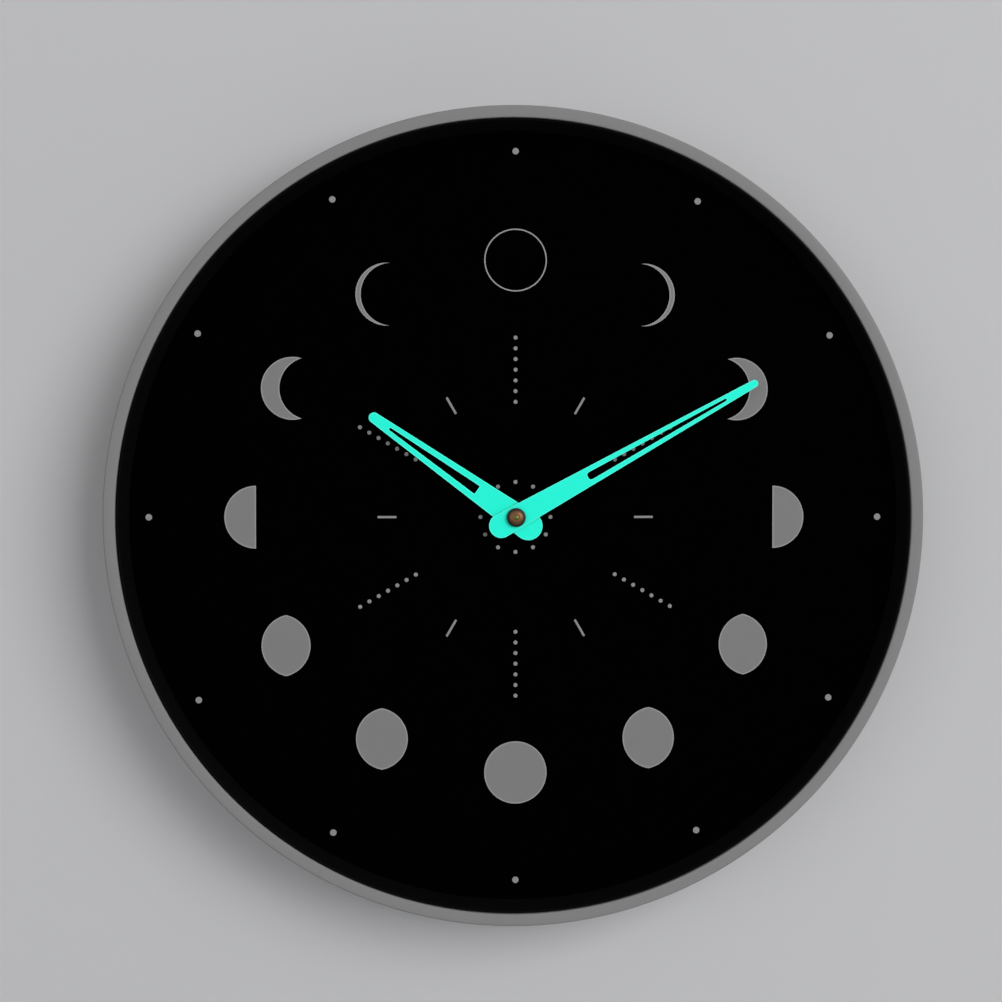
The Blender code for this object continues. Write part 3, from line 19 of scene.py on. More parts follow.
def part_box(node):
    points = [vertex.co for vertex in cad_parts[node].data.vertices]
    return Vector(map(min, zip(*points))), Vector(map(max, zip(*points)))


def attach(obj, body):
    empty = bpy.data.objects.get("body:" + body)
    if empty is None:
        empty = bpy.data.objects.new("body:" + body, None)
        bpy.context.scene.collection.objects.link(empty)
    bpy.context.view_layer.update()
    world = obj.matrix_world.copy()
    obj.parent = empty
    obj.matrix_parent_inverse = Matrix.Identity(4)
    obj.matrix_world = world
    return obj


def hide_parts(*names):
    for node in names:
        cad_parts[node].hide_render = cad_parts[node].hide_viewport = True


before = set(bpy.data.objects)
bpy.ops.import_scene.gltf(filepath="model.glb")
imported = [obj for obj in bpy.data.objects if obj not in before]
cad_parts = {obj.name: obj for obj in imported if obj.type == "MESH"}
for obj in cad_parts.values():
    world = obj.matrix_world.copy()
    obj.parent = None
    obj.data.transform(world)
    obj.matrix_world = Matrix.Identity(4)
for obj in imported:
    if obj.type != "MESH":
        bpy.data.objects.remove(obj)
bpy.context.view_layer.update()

Array = np.ndarray
Point = tuple[float, float]
Triple = tuple[float, float, float]
Shaper = Callable[[Array, Array, Array], tuple[Array, Array]]
Tree = bpy.types.NodeTree
Node = bpy.types.Node
Socket = bpy.types.NodeSocket
Material = bpy.types.Material
Piece = bpy.types.Object

LOG = logging.getLogger("moon_clock")
EDGE_ATTRIBUTE = "edge_distance"
DIAL_AXIS: Point = (0.0, -0.112)
DIAL_CENTRE: Triple = (0.0, 0.0, -0.112)
QUARTER = math.pi / 2
RING_SIDES = 384
SMALL_SIDES = 96
MERGE_DISTANCE = 1e-7
SHARP_ANGLE = math.radians(32)
BEVEL_ANGLE = math.radians(40)
EDGE_BATCH = 256
FLIP_X = np.array([-1.0, 1.0])
FLIP_Z = np.array([1.0, -1.0])


# Shapes worked out on grids

def rays(angle: Array) -> Array:
    """Unit (x, z) rows in given directions: (cos a, sin a)."""
    return np.stack([np.cos(angle), np.sin(angle)], axis=-1)


def arc(
    radius: float | Point, start: float, end: float, count: int, centre: Point = (0.0, 0.0)
) -> Array:
    """Points of a circular or elliptical arc: centre + (a cos t, b sin t).

    Args:
        radius: The radius, or a and b.
        start: The first t.
        end: The last t.
        count: How many points it has.
        centre: Its centre.

    Returns:
        One row for each point.
    """
    return np.array(centre) + np.array(radius) * rays(np.linspace(start, end, count))


def circle(sides: int) -> Array:
    """The points of a unit circle."""
    return arc(1.0, 0.0, math.tau, sides + 1)[:-1]


def turned(points: Array, angle: float, centre: Point = DIAL_AXIS) -> Array:
    """Turns (x, z) points about the origin and then moves the origin to a centre."""
    cosine, sine = math.cos(angle), math.sin(angle)
    return points @ np.array([[cosine, sine], [-sine, cosine]]) + np.array(centre)


def clock_angle(hours: float) -> float:
    """The direction of an hour on the dial."""
    return QUARTER - hours * math.pi / 6


def eased(count: int) -> Array:
    """Shares from 0 to 1 that lie closest at both ends: (1 - cos t) / 2 with t from 0 to pi."""
    return (1 - np.cos(np.linspace(0.0, math.pi, count))) / 2


def spread_evenly(line: Array, count: int) -> Array:
    """Spaces points evenly along a line, by the length run through.

    Args:
        line: (x, z) rows of an open line.
        count: How many points to return.

    Returns:
        (x, z) rows.
    """
    run = np.concatenate([[0.0], np.cumsum(np.linalg.norm(np.diff(line, axis=0), axis=1))])
    wanted = np.linspace(0.0, run[-1], count)
    return np.stack([np.interp(wanted, run, line[:, axis]) for axis in (0, 1)], axis=-1)


def filleted(corners: Sequence[Point], cuts: Sequence[float], steps: int = 5) -> Array:
    """Rounds the corners of a closed outline.

    Each corner p becomes the parabola (1-u)^2 a + 2u(1-u) p + u^2 b, where a and b lie on the two
    sides that meet in p, at the corner's cut from it, and u runs from 0 to 1.

    Args:
        corners: (radius, depth) or (x, z) of each corner.
        cuts: How far along its two sides each corner is cut.
        steps: Points on each rounded corner.

    Returns:
        The rounded outline.
    """
    corners, reach = np.array(corners), np.array(cuts)[:, None]
    before = np.roll(corners, 1, axis=0) - corners
    after = np.roll(corners, -1, axis=0) - corners
    start = corners + before / np.linalg.norm(before, axis=1, keepdims=True) * reach
    end = corners + after / np.linalg.norm(after, axis=1, keepdims=True) * reach
    u = np.linspace(0.0, 1.0, steps)[None, :, None]
    ends = (1 - u) ** 2 * start[:, None] + u ** 2 * end[:, None]
    return (ends + 2 * u * (1 - u) * corners[:, None]).reshape(-1, 2)


def seen_from(line: Array, centre: Point, angles: Array, readings: int = 4000) -> Array:
    """Reads a closed outline in given directions from a centre that sees all of it.

    Args:
        line: (x, z) rows of the outline.
        centre: The centre.
        angles: The directions.
        readings: How finely the outline is divided first.

    Returns:
        One (x, z) row for each direction: centre + r (cos a, sin a), with r from the outline.
    """
    away = spread_evenly(np.concatenate([line, line[:1]]), readings)[:-1] - np.array(centre)
    direction, distance = np.arctan2(away[:, 1], away[:, 0]), np.linalg.norm(away, axis=1)
    reach = np.interp(angles, direction, distance, period=math.tau)
    return np.array(centre) + reach[:, None] * rays(angles)


def in_space(flat: Array, depth: float | Array) -> Array:
    """Sets (x, z) points at a depth, as one (x, y, z) row each."""
    depth = np.broadcast_to(depth, flat.shape[:-1])
    return np.stack([flat[..., 0], depth, flat[..., 1]], axis=-1).reshape(-1, 3)


def grid_faces(
    rows: int, columns: int, close_rows: bool = False, close_columns: bool = False
) -> list[list[int]]:
    """Quads between neighbouring points of a grid that is stored row by row.

    Args:
        rows: How many rows the grid has.
        columns: How many points each row has.
        close_rows: Whether the last row also meets the first.
        close_columns: Whether each row's last point also meets its first.

    Returns:
        The vertex numbers of each quad.
    """
    i = np.arange(rows if close_rows else rows - 1)[:, None]
    j = np.arange(columns if close_columns else columns - 1)[None, :]
    below, beside = (i + 1) % rows, (j + 1) % columns
    corners = [i * columns + j, i * columns + beside, below * columns + beside, below * columns + j]
    quads = [np.broadcast_to(corner, (i.size, j.size)) for corner in corners]
    return np.stack(quads, axis=-1).reshape(-1, 4).tolist()


@dataclass
class Surface:
    """Points and faces of a surface before they become a mesh.

    Attributes:
        points: One (x, y, z) row for each vertex.
        faces: Vertex numbers of each face.
    """

    points: Array
    faces: list[list[int]]

    @staticmethod
    def joined(parts: Iterable["Surface"]) -> "Surface":
        """Puts several surfaces into one, as separate shells.

        Args:
            parts: The surfaces.

        Returns:
            One surface that holds them all.
        """
        points: list[Array] = []
        faces: list[list[int]] = []
        count = 0
        for part in parts:
            points.append(part.points)
            faces += [[corner + count for corner in face] for face in part.faces]
            count += len(part.points)
        return Surface(np.concatenate(points), faces)

    def laid_along_x(self) -> "Surface":
        """The surface with its axis turned from Y to X: (x, y, z) becomes (y, x, z)."""
        return Surface(self.points[:, (1, 0, 2)], self.faces)


def revolved(
    profile: Array, sides: int = RING_SIDES, centre: Point = DIAL_AXIS, closed: bool = True,
    shape: Shaper | None = None,
) -> Surface:
    """Turns a profile about an axis along Y: x = cx + r cos a, z = cz + r sin a, y = depth.

    Args:
        profile: (radius, depth) rows.
        sides: Steps round the axis.
        centre: (x, z) of the axis.
        closed: Whether the profile is a loop. One that isn't starts and ends on the axis.
        shape: Changes radius and depth by the angle, for a piece that isn't quite round.

    Returns:
        The turned surface.
    """
    angle = np.linspace(0.0, math.tau, sides, endpoint=False)[:, None]
    angle, radius, depth = np.broadcast_arrays(angle, profile[None, :, 0], profile[None, :, 1])
    if shape:
        radius, depth = shape(angle, radius, depth)
    flat = np.array(centre) + radius[..., None] * rays(angle)
    return Surface(in_space(flat, depth), grid_faces(sides, len(profile), True, closed))


def prism(section: Array, half_width: float, angle: float) -> Surface:
    """Carries a (radius, depth) section sideways, half a width each way from a radius of the dial.

    Args:
        section: The section's outline.
        half_width: Half the block's width.
        angle: Direction of the radius.

    Returns:
        The block with its two flat ends.
    """
    along = rays(np.array(angle))
    across = np.array([-along[1], along[0]])
    side = np.array([-half_width, half_width])[:, None, None]
    flat = np.array(DIAL_AXIS) + section[None, :, :1] * along + side * across
    count = len(section)
    ends = [list(range(count)), list(range(2 * count - 1, count - 1, -1))]
    return Surface(in_space(flat, section[:, 1]), grid_faces(2, count, False, True) + ends)


def ruled(
    first: Array, second: Array, shares: Array, depth: float, closed: bool = False
) -> Surface:
    """Fills the flat strip between two lines: p(t, s) = (1-s) first(t) + s second(t).

    Args:
        first: (x, z) rows of one line.
        second: (x, z) rows of the other, as many.
        shares: The values of s, from 0 to 1.
        depth: The plane's y.
        closed: Whether the lines are loops.

    Returns:
        The flat surface.
    """
    s = shares[None, :, None]
    flat = (1 - s) * first[:, None] + s * second[:, None]
    return Surface(in_space(flat, depth), grid_faces(len(first), len(shares), closed))


def axis_of(node: str) -> Point:
    """The (x, z) middle of a CAD node."""
    low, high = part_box(node)
    return (low.x + high.x) / 2, (low.z + high.z) / 2


# Effects that several finishes share

@dataclass
class Net:
    """A node tree that is being wired."""

    tree: Tree

    def wire(self, node: Node, inputs: dict[str | int, object]) -> None:
        """Sets or links inputs of a node.

        Args:
            node: The node.
            inputs: A value or a socket for each, by name or number.
        """
        for label, value in inputs.items():
            if isinstance(value, Socket):
                self.tree.links.new(value, node.inputs[label])
            else:
                node.inputs[label].default_value = value

    def add(
        self, kind: str, inputs: dict[str | int, object] | None = None, **settings: object
    ) -> Node:
        """Adds a shader node.

        Args:
            kind: Its type, without "ShaderNode".
            inputs: A value or a socket for each input that isn't left as it is.
            **settings: Its own properties.

        Returns:
            The node.
        """
        node = self.tree.nodes.new(f"ShaderNode{kind}")
        for label, value in settings.items():
            setattr(node, label, value)
        self.wire(node, inputs or {})
        return node

    def maths(self, operation: str, *values: Socket | float) -> Socket:
        """The result of a Math node, with a socket or a number for each of its inputs."""
        return self.add("Math", dict(enumerate(values)), operation=operation).outputs[0]

    def weighed(self, values: Sequence[Socket], weights: Sequence[float]) -> Socket:
        """The sum of two values, each times its weight."""
        parts = [self.maths("MULTIPLY", *pair) for pair in zip(values, weights)]
        return self.maths("ADD", *parts)

    def noise(self, place: Socket, scale: Socket | float, detail: float = 2.0) -> Socket:
        """The value of a Noise Texture with so many features for each metre."""
        inputs = {"Vector": place, "Scale": scale, "Detail": detail}
        return self.add("TexNoise", inputs).outputs[0]

    def stretched(self, place: Socket, factors: Triple) -> Socket:
        """A vector times three fixed numbers."""
        return self.add("VectorMath", {0: place, 1: factors}, operation="MULTIPLY").outputs[0]

    def mixed(self, share: Socket, first: Socket | Triple, second: Triple) -> Socket:
        """A colour that goes from a first to a second as a share goes from 0 to 1.

        Args:
            share: The share.
            first: The first colour, or a socket that gives it.
            second: The second colour.

        Returns:
            The mixed colour.
        """
        start = first if isinstance(first, Socket) else (*first, 1.0)
        inputs = {"Factor": share, "A": start, "B": (*second, 1.0)}
        return self.add("Mix", inputs, data_type="RGBA").outputs["Result"]

    def swapped(self, share: Socket, first: Node, second: Node, end: str) -> None:
        """Hands an output node a shader that goes from a first to a second with a share.

        Args:
            share: The share of the second.
            first: The first shader.
            second: The second shader.
            end: The output node's name.
        """
        mix = self.add("MixShader", {"Fac": share, 1: first.outputs[0], 2: second.outputs[0]})
        self.wire(self.tree.nodes[end], {"Surface": mix.outputs[0]})


class EffectNet(Net):
    """The inside of an effect's node group, with a method that wires each effect.

    A SCALE is a noise's features for each metre, and a SHARE its features for each one of the
    effect's grain. A SPREAD is how far cells stray from a square grid, and WEIGHTS add two
    values up to a mask.
    """

    DRIFT_SCALE = 180.0
    DIRT_SCALE = 900.0
    WAVE_SCALE = 1500.0
    PATCH_SCALE = 260.0
    FLOW_SHARE = 0.02
    STAIN_SHARE = 0.03
    FILM_SHARE = 0.1
    DRAWN_SHARE = 0.025
    WEAVE_SPREAD = 0.35
    TRACK_SPREAD = 0.55
    TRACK_EDGE = 0.42  # how far from a cell's middle its track starts
    WAVE_HEIGHT = 0.25  # how far the edge line's width changes, over that width
    MOULDED_WEIGHTS = (0.7, 0.3)
    DRAWN_WEIGHTS = (0.5, 0.5)
    PRINTED_WEIGHTS = (0.75, 0.35)
    WOUND_WEIGHTS = (0.6, 0.4)

    def __init__(self, name: str, numbers: dict[str, float], results: tuple[str, ...]) -> None:
        """Makes the group, with a Vector input, number inputs and value outputs.

        Args:
            name: Its name.
            numbers: The default of each number input.
            results: The names of its outputs.
        """
        super().__init__(bpy.data.node_groups.new(name, "ShaderNodeTree"))
        sockets = self.tree.interface
        sockets.new_socket("Vector", in_out="INPUT", socket_type="NodeSocketVector")
        for label, value in numbers.items():
            socket = sockets.new_socket(label, in_out="INPUT", socket_type="NodeSocketFloat")
            socket.default_value = value
        for label in results:
            sockets.new_socket(label, in_out="OUTPUT", socket_type="NodeSocketFloat")
        self.given = self.tree.nodes.new("NodeGroupInput").outputs
        self.end = self.tree.nodes.new("NodeGroupOutput")
        self.place = self.given["Vector"]

    def fineness(self) -> Socket:
        """Features for each metre: one over the Size input."""
        return self.maths("DIVIDE", 1.0, self.given["Size"])

    def slow_noise(self, fine: Socket, share: float) -> Socket:
        """A noise with a share of the grain's fineness."""
        return self.noise(self.place, self.maths("MULTIPLY", fine, share), detail=3.0)

    def moulded_skin(self) -> None:
        """The spark-eroded skin of a mould: fine even pits over slow, faint flow marks."""
        fine = self.fineness()
        pits = self.noise(self.place, fine, detail=1.0)
        flow = self.slow_noise(fine, self.FLOW_SHARE)
        mask = self.weighed((flow, pits), self.MOULDED_WEIGHTS)
        self.wire(self.end, {"Mask": mask, "Height": pits})

    def turned_lines(self) -> None:
        """Lathe lines: noise that changes quickly away from the axis and slowly round it."""
        flat = self.stretched(self.place, (1.0, 0.0, 1.0))
        length = self.add("VectorMath", {0: flat}, operation="LENGTH").outputs["Value"]
        reach = self.maths("DIVIDE", length, self.given["Size"])
        drift = self.noise(self.place, self.DRIFT_SCALE, detail=1.0)
        spot = self.add("CombineXYZ", {"X": reach, "Y": drift})
        lines = self.noise(spot.outputs[0], scale=1.0)
        self.wire(self.end, {"Mask": lines, "Height": lines})

    def drawn_lines(self) -> None:
        """Rolling lines of sheet metal: noise that is forty times longer along Z than across."""
        fine = self.fineness()
        lines = self.noise(self.stretched(self.place, (1.0, 1.0, self.DRAWN_SHARE)), fine)
        stains = self.slow_noise(fine, self.STAIN_SHARE)
        mask = self.weighed((lines, stains), self.DRAWN_WEIGHTS)
        self.wire(self.end, {"Mask": mask, "Height": lines})

    def printed_ink(self) -> None:
        """Screen-printed ink: the screen's faint weave over slow changes of thickness."""
        fine = self.fineness()
        inputs = {"Vector": self.place, "Scale": fine, "Randomness": self.WEAVE_SPREAD}
        weave = self.add("TexVoronoi", inputs).outputs["Distance"]
        film = self.slow_noise(fine, self.FILM_SHARE)
        mask = self.weighed((film, weave), self.PRINTED_WEIGHTS)
        self.wire(self.end, {"Mask": mask, "Height": weave})

    def wound_wire(self) -> None:
        """Turns of fine wire side by side: |sin| of the place along X over a turn's width."""
        along = self.add("SeparateXYZ", {0: self.place}).outputs["X"]
        turn = self.maths("DIVIDE", along, self.given["Size"])
        crown = self.maths("ABSOLUTE", self.maths("SINE", self.maths("MULTIPLY", turn, math.pi)))
        mask = self.weighed((crown, self.noise(self.place, self.DIRT_SCALE)), self.WOUND_WEIGHTS)
        self.wire(self.end, {"Mask": mask, "Height": crown})

    def board_tracks(self) -> None:
        """Copper tracks under lacquer: square cells, of which the edges stand out."""
        flat = self.stretched(self.place, (1.0, 0.0, 1.0))
        inputs = {"Vector": flat, "Scale": self.fineness(), "Randomness": self.TRACK_SPREAD}
        cells = self.add("TexVoronoi", inputs, distance="CHEBYCHEV", feature="F1")
        track = self.maths("GREATER_THAN", cells.outputs["Distance"], self.TRACK_EDGE)
        self.wire(self.end, {"Mask": track, "Height": track})

    def painted_edge_highlight(self) -> None:
        """A painted highlight along a piece's outline: 1 at the edge, 0 from a slightly wavy width
        inwards.
        """
        share = self.maths("DIVIDE", self.given["Distance"], self.given["Width"])
        wave = self.noise(self.place, self.WAVE_SCALE)
        wavy = self.maths("MULTIPLY", wave, self.WAVE_HEIGHT)
        limits = {"From Min": 0.75, "From Max": 1.25, "To Min": 1.0, "To Max": 0.0}
        inputs = {"Value": self.maths("ADD", share, wavy), **limits}
        fade = self.add("MapRange", inputs, interpolation_type="SMOOTHSTEP")
        self.wire(self.end, {"Mask": fade.outputs[0]})

    def settled_dust(self) -> None:
        """Dust on what faces up: patchy noise times the upward part of the normal."""
        normal = self.add("NewGeometry").outputs["Normal"]
        upward = self.maths("MAXIMUM", self.add("SeparateXYZ", {0: normal}).outputs["Z"], 0.0)
        patches = self.noise(self.place, self.PATCH_SCALE, detail=4.0)
        lying = self.maths("MULTIPLY", upward, patches)
        self.wire(self.end, {"Mask": self.maths("MULTIPLY", lying, self.given["Amount"])})


class Effect(Enum):
    """The effects: how each is wired, the defaults of its numbers, and its outputs."""

    MOULDED = (EffectNet.moulded_skin, {"Size": 0.0004}, ("Mask", "Height"))
    TURNED = (EffectNet.turned_lines, {"Size": 0.0001}, ("Mask", "Height"))
    DRAWN = (EffectNet.drawn_lines, {"Size": 0.0001}, ("Mask", "Height"))
    PRINTED = (EffectNet.printed_ink, {"Size": 0.00035}, ("Mask", "Height"))
    WOUND = (EffectNet.wound_wire, {"Size": 0.00012}, ("Mask", "Height"))
    BOARD = (EffectNet.board_tracks, {"Size": 0.0015}, ("Mask", "Height"))
    EDGE = (EffectNet.painted_edge_highlight, {"Distance": 0.0, "Width": 0.0003}, ("Mask",))
    DUST = (EffectNet.settled_dust, {"Amount": 0.1}, ("Mask",))

    @property
    def group(self) -> Tree:
        """The effect's node group, built once and named after the method that wires it.

        Returns:
            The group.
        """
        wiring, numbers, results = self.value
        made = bpy.data.node_groups.get(wiring.__name__)
        if made:
            return made
        net = EffectNet(wiring.__name__, numbers, results)
        wiring(net)
        return net.tree


# Finishes

@dataclass(frozen=True)
class Finish:
    """A surface finish: two close tones, a roughness that varies, and the grain of its making.

    Attributes:
        name: The material's name.
        colour: Its main colour.
        tone: The colour that its grain fades to.
        roughness: Its middle roughness.
        spread: How far the roughness varies each way.
        grain: The mark of how it was made.
        size: The grain's size.
        relief: The grain's depth.
        metallic: 1 for bare metal.
        specular: The shader's specular level.
        coat: Weight of a clear coat.
        edge: Colour of a painted highlight along the outline, if it has one.
        edge_width: Width of that line.
        dust: How much dust lies on what faces up.
        centre: (x, y, z) that the grain is centred on.
    """

    name: str
    colour: Triple
    tone: Triple
    roughness: float = 0.5
    spread: float = 0.06
    grain: Effect = Effect.MOULDED
    size: float = 0.0004
    relief: float = 0.00001
    metallic: float = 0.0
    specular: float = 0.5
    coat: float = 0.0
    edge: Triple | None = None
    edge_width: float = 0.0003
    dust: float = 0.0
    centre: Triple = (0.0, 0.0, 0.0)

    COAT_ROUGHNESS = 0.2
    DUST_COLOUR = (0.35, 0.34, 0.32)

    def material(self) -> Material:
        """The finish as a node material, which is made once.

        Returns:
            The material.
        """
        made = bpy.data.materials.get(self.name)
        if made:
            return made
        made = bpy.data.materials.new(self.name)
        made.use_nodes = True
        made.diffuse_color = (*self.colour, 1.0)
        net = Net(made.node_tree)
        coordinates = net.add("TexCoord").outputs["Object"]
        shift = [-value for value in self.centre]
        place = net.add("Mapping", {"Vector": coordinates, "Location": shift}).outputs["Vector"]
        grain = self._placed(net, self.grain, place, Size=self.size).outputs
        colour = net.mixed(grain["Mask"], self.colour, self.tone)
        # Painted highlight: a lighter colour faded in along the piece's outline.
        if self.edge:
            distance = net.add("Attribute", attribute_name=EDGE_ATTRIBUTE).outputs["Fac"]
            line = self._placed(net, Effect.EDGE, place, Width=self.edge_width, Distance=distance)
            colour = net.mixed(line.outputs["Mask"], colour, self.edge)
        if self.dust:
            film = self._placed(net, Effect.DUST, place, Amount=self.dust)
            colour = net.mixed(film.outputs["Mask"], colour, self.DUST_COLOUR)
        low, high = self.roughness - self.spread, self.roughness + self.spread
        sheen = net.add("MapRange", {"Value": grain["Mask"], "To Min": low, "To Max": high})
        relief = {"Strength": 1.0, "Distance": self.relief, "Height": grain["Height"]}
        net.wire(made.node_tree.nodes["Principled BSDF"], {
            "Base Color": colour, "Roughness": sheen.outputs[0],
            "Normal": net.add("Bump", relief).outputs["Normal"], "Metallic": self.metallic,
            "Specular IOR Level": self.specular, "Coat Weight": self.coat,
            "Coat Roughness": self.COAT_ROUGHNESS,
        })
        return made

    @staticmethod
    def _placed(net: Net, effect: Effect, place: Socket, **numbers: Socket | float) -> Node:
        """An effect's group, placed in a material with its own numbers."""
        return net.add("Group", {"Vector": place, **numbers}, node_tree=effect.group)


PRINTED, TURNED, DRAWN = Effect.PRINTED, Effect.TURNED, Effect.DRAWN

RIM_GREY = Finish("rim_satin_grey", (0.213, 0.213, 0.215), (0.201, 0.201, 0.204), 0.66, 0.05,
                  specular=0.12, dust=0.12)
BEZEL_BLACK = Finish("bezel_black_plastic", (0.0011, 0.0011, 0.0012), (0.0007, 0.0007, 0.0008),
                     0.55, specular=0.03)
DIAL_BLACK = Finish("dial_matt_black", (0.0003, 0.0003, 0.0003), (0.0001, 0.0001, 0.0001),
                    0.85, 0.05, PRINTED, 0.0006, 0.000004, specular=0.006)
# The moons' edge colour is a painted highlight along their outline.
MARK_GREY = Finish("mark_grey_ink", (0.197, 0.197, 0.199), (0.184, 0.184, 0.186), 0.75, 0.05,
                   PRINTED, 0.00045, 0.000004, specular=0.2, edge=(0.29, 0.29, 0.29),
                   edge_width=0.00045)
DOT_GREY = Finish("dot_grey_ink", (0.245, 0.245, 0.247), (0.230, 0.230, 0.232), 0.75, 0.05,
                  PRINTED, 0.00045, 0.000004, specular=0.2)
# The hands' edge colour is a painted highlight along their outline, standing for their bevels
# catching the light.
HAND_TURQUOISE = Finish("hand_turquoise_paint", (0.021, 0.93, 0.705), (0.013, 0.89, 0.665),
                        0.6, 0.05, PRINTED, 0.0005, 0.000004, specular=0.12,
                        edge=(0.08, 0.93, 0.74), edge_width=0.0004)
PLATE_BLACK = Finish("plate_moulded_black", (0.026, 0.026, 0.027), (0.019, 0.019, 0.020),
                     0.5, 0.08, size=0.0005, relief=0.00003, dust=0.15)
MOVEMENT_GREY = Finish("movement_moulded_grey", (0.030, 0.030, 0.032), (0.022, 0.022, 0.024),
                       0.5, 0.08, size=0.0004, relief=0.00002, dust=0.1)
LID_GREY = Finish("lid_moulded_grey", (0.036, 0.036, 0.039), (0.027, 0.027, 0.029), 0.55, 0.08,
                  size=0.0003, relief=0.00002, dust=0.1)
SIGN_GREY = Finish("sign_grey_ink", (0.30, 0.30, 0.31), (0.27, 0.27, 0.28), 0.6, 0.05,
                   PRINTED, 0.0003, 0.000004, specular=0.3)
ACETAL = Finish("wheel_white_acetal", (0.74, 0.74, 0.70), (0.66, 0.66, 0.62), 0.38, 0.05,
                size=0.0003)
RUBBER = Finish("washer_rubber", (0.011, 0.011, 0.011), (0.007, 0.007, 0.007), 0.9, 0.05,
                size=0.0002, specular=0.3)
BRASS = Finish("pipe_turned_brass", (0.50, 0.33, 0.12), (0.38, 0.24, 0.08), 0.3, 0.08,
               TURNED, 0.0001, 0.000006, 1.0, centre=DIAL_CENTRE)
# Painted dark reflection: the nut's rim is coloured near black to stand for the dark surroundings
# it mirrors.
CAP_RIM_DARK_REFLECTION = Finish("cap_rim_painted_dark_reflection", (0.022, 0.016, 0.010), (0.012, 0.009, 0.006), 0.5, 0.08,
                 TURNED, 0.0001, 0.000006, 0.7, centre=DIAL_CENTRE)
CAP_FACE = Finish("cap_brown_brass", (0.17, 0.075, 0.032), (0.10, 0.045, 0.018), 0.42, 0.08,
                  TURNED, 0.00012, 0.000006, 0.7, centre=DIAL_CENTRE)
# Painted highlight: the nut's middle is coloured pale greenish gold to stand for a reflection on
# its dome.
CAP_TOP_HIGHLIGHT = Finish("cap_top_painted_highlight", (0.13, 0.13, 0.022), (0.09, 0.075, 0.018), 0.36, 0.08,
                 TURNED, 0.0001, 0.000006, 0.75, centre=DIAL_CENTRE)
ZINC = Finish("hanger_zinc_steel", (0.58, 0.58, 0.60), (0.44, 0.44, 0.45), 0.34, 0.1,
              DRAWN, 0.00025, 0.000008, 1.0)
SCREW_ZINC = Finish("screw_zinc_steel", (0.50, 0.50, 0.52), (0.38, 0.38, 0.39), 0.28, 0.08,
                    size=0.0003, relief=0.000004, metallic=1.0)
LAMINATE = Finish("motor_steel", (0.42, 0.42, 0.43), (0.34, 0.34, 0.35), 0.4, 0.1,
                  DRAWN, 0.0002, 0.000006, 1.0)
BLACK_STEEL = Finish("nut_blackened_steel", (0.0028, 0.0028, 0.003), (0.0018, 0.0018, 0.002),
                     0.6, 0.08, TURNED, 0.00015, 0.000006, specular=0.1, centre=DIAL_CENTRE)
MAGNET = Finish("rotor_sintered_magnet", (0.085, 0.085, 0.09), (0.055, 0.055, 0.06), 0.45, 0.1,
                size=0.00015, relief=0.00001, metallic=0.7)
COPPER = Finish("coil_copper_wire", (0.45, 0.15, 0.05), (0.26, 0.07, 0.02), 0.35, 0.08,
                Effect.WOUND, 0.00012, 0.00003, 0.8, coat=0.6)
BOARD = Finish("board_green_lacquer", (0.018, 0.13, 0.055), (0.05, 0.22, 0.08), 0.35, 0.05,
               Effect.BOARD, 0.0016, 0.00002, coat=0.4)
EPOXY = Finish("chip_potting_epoxy", (0.011, 0.011, 0.012), (0.016, 0.016, 0.016), 0.24, 0.06,
               size=0.0012, relief=0.00002)
NICKEL = Finish("contact_nickel", (0.62, 0.60, 0.56), (0.50, 0.48, 0.44), 0.25, 0.08,
                DRAWN, 0.0002, 0.000005, 1.0)
CELL_SLEEVE = Finish("cell_sleeve", (0.050, 0.050, 0.060), (0.040, 0.040, 0.050), 0.3, 0.05,
                     PRINTED, 0.0004, 0.000005, 0.2, coat=0.5)
CELL_BAND = Finish("cell_plain_band", (0.50, 0.24, 0.10), (0.42, 0.19, 0.08), 0.3, 0.05,
                   PRINTED, 0.0004, 0.000005, 0.5, coat=0.5)
CELL_END = Finish("cell_end_steel", (0.62, 0.62, 0.62), (0.52, 0.52, 0.52), 0.28, 0.06,
                  DRAWN, 0.0002, 0.000004, 1.0)

NODES_OF_FINISH: dict[Finish, tuple[str, ...]] = {
    PLATE_BLACK: ("back_plate",),
    RUBBER: ("rubber_washer",),
    BLACK_STEEL: ("fixing_washer", "fixing_nut"),
    MOVEMENT_GREY: ("movement_case",),
    LID_GREY: ("movement_lid",),
    BRASS: ("minute_pipe",),
    ACETAL: ("middle_plate", "hour_wheel", "motion_wheel", "centre_wheel", "third_wheel",
             "second_wheel", "intermediate_wheel", "rotor_pinion", "coil_bobbin"),
    MAGNET: ("rotor_magnet",),
    LAMINATE: ("stator", "coil_core"),
    COPPER: ("coil_winding",),
    BOARD: ("circuit_board",),
    EPOXY: ("chip",),
    CELL_END: ("quartz_crystal",),
    NICKEL: ("contact_plus", "contact_minus"),
}


# Pieces

class Body(Enum):
    """The bodies of the frame that a new piece can ride."""

    CASE = "case"
    HOUR = "hour"
    MINUTE = "minute"
    MOTION = "motion"
    BATTERY = "battery"


def make_piece(name: str, surface: Surface, finish: Finish) -> Piece:
    """Makes a mesh object of a surface, with doubles merged and normals pointing outwards.

    Args:
        name: The piece's name.
        surface: Its points and faces.
        finish: Its finish.

    Returns:
        The object, at the origin.
    """
    mesh = bpy.data.meshes.new(name)
    mesh.from_pydata(surface.points.tolist(), [], surface.faces)
    bm = bmesh.new()
    bm.from_mesh(mesh)
    bmesh.ops.remove_doubles(bm, verts=bm.verts, dist=MERGE_DISTANCE)
    bmesh.ops.recalc_face_normals(bm, faces=bm.faces)
    bm.to_mesh(mesh)
    bm.free()
    mesh.shade_smooth()
    mesh.set_sharp_from_angle(angle=SHARP_ANGLE)
    mesh.materials.append(finish.material())
    piece = bpy.data.objects.new(name, mesh)
    bpy.context.scene.collection.objects.link(piece)
    return piece


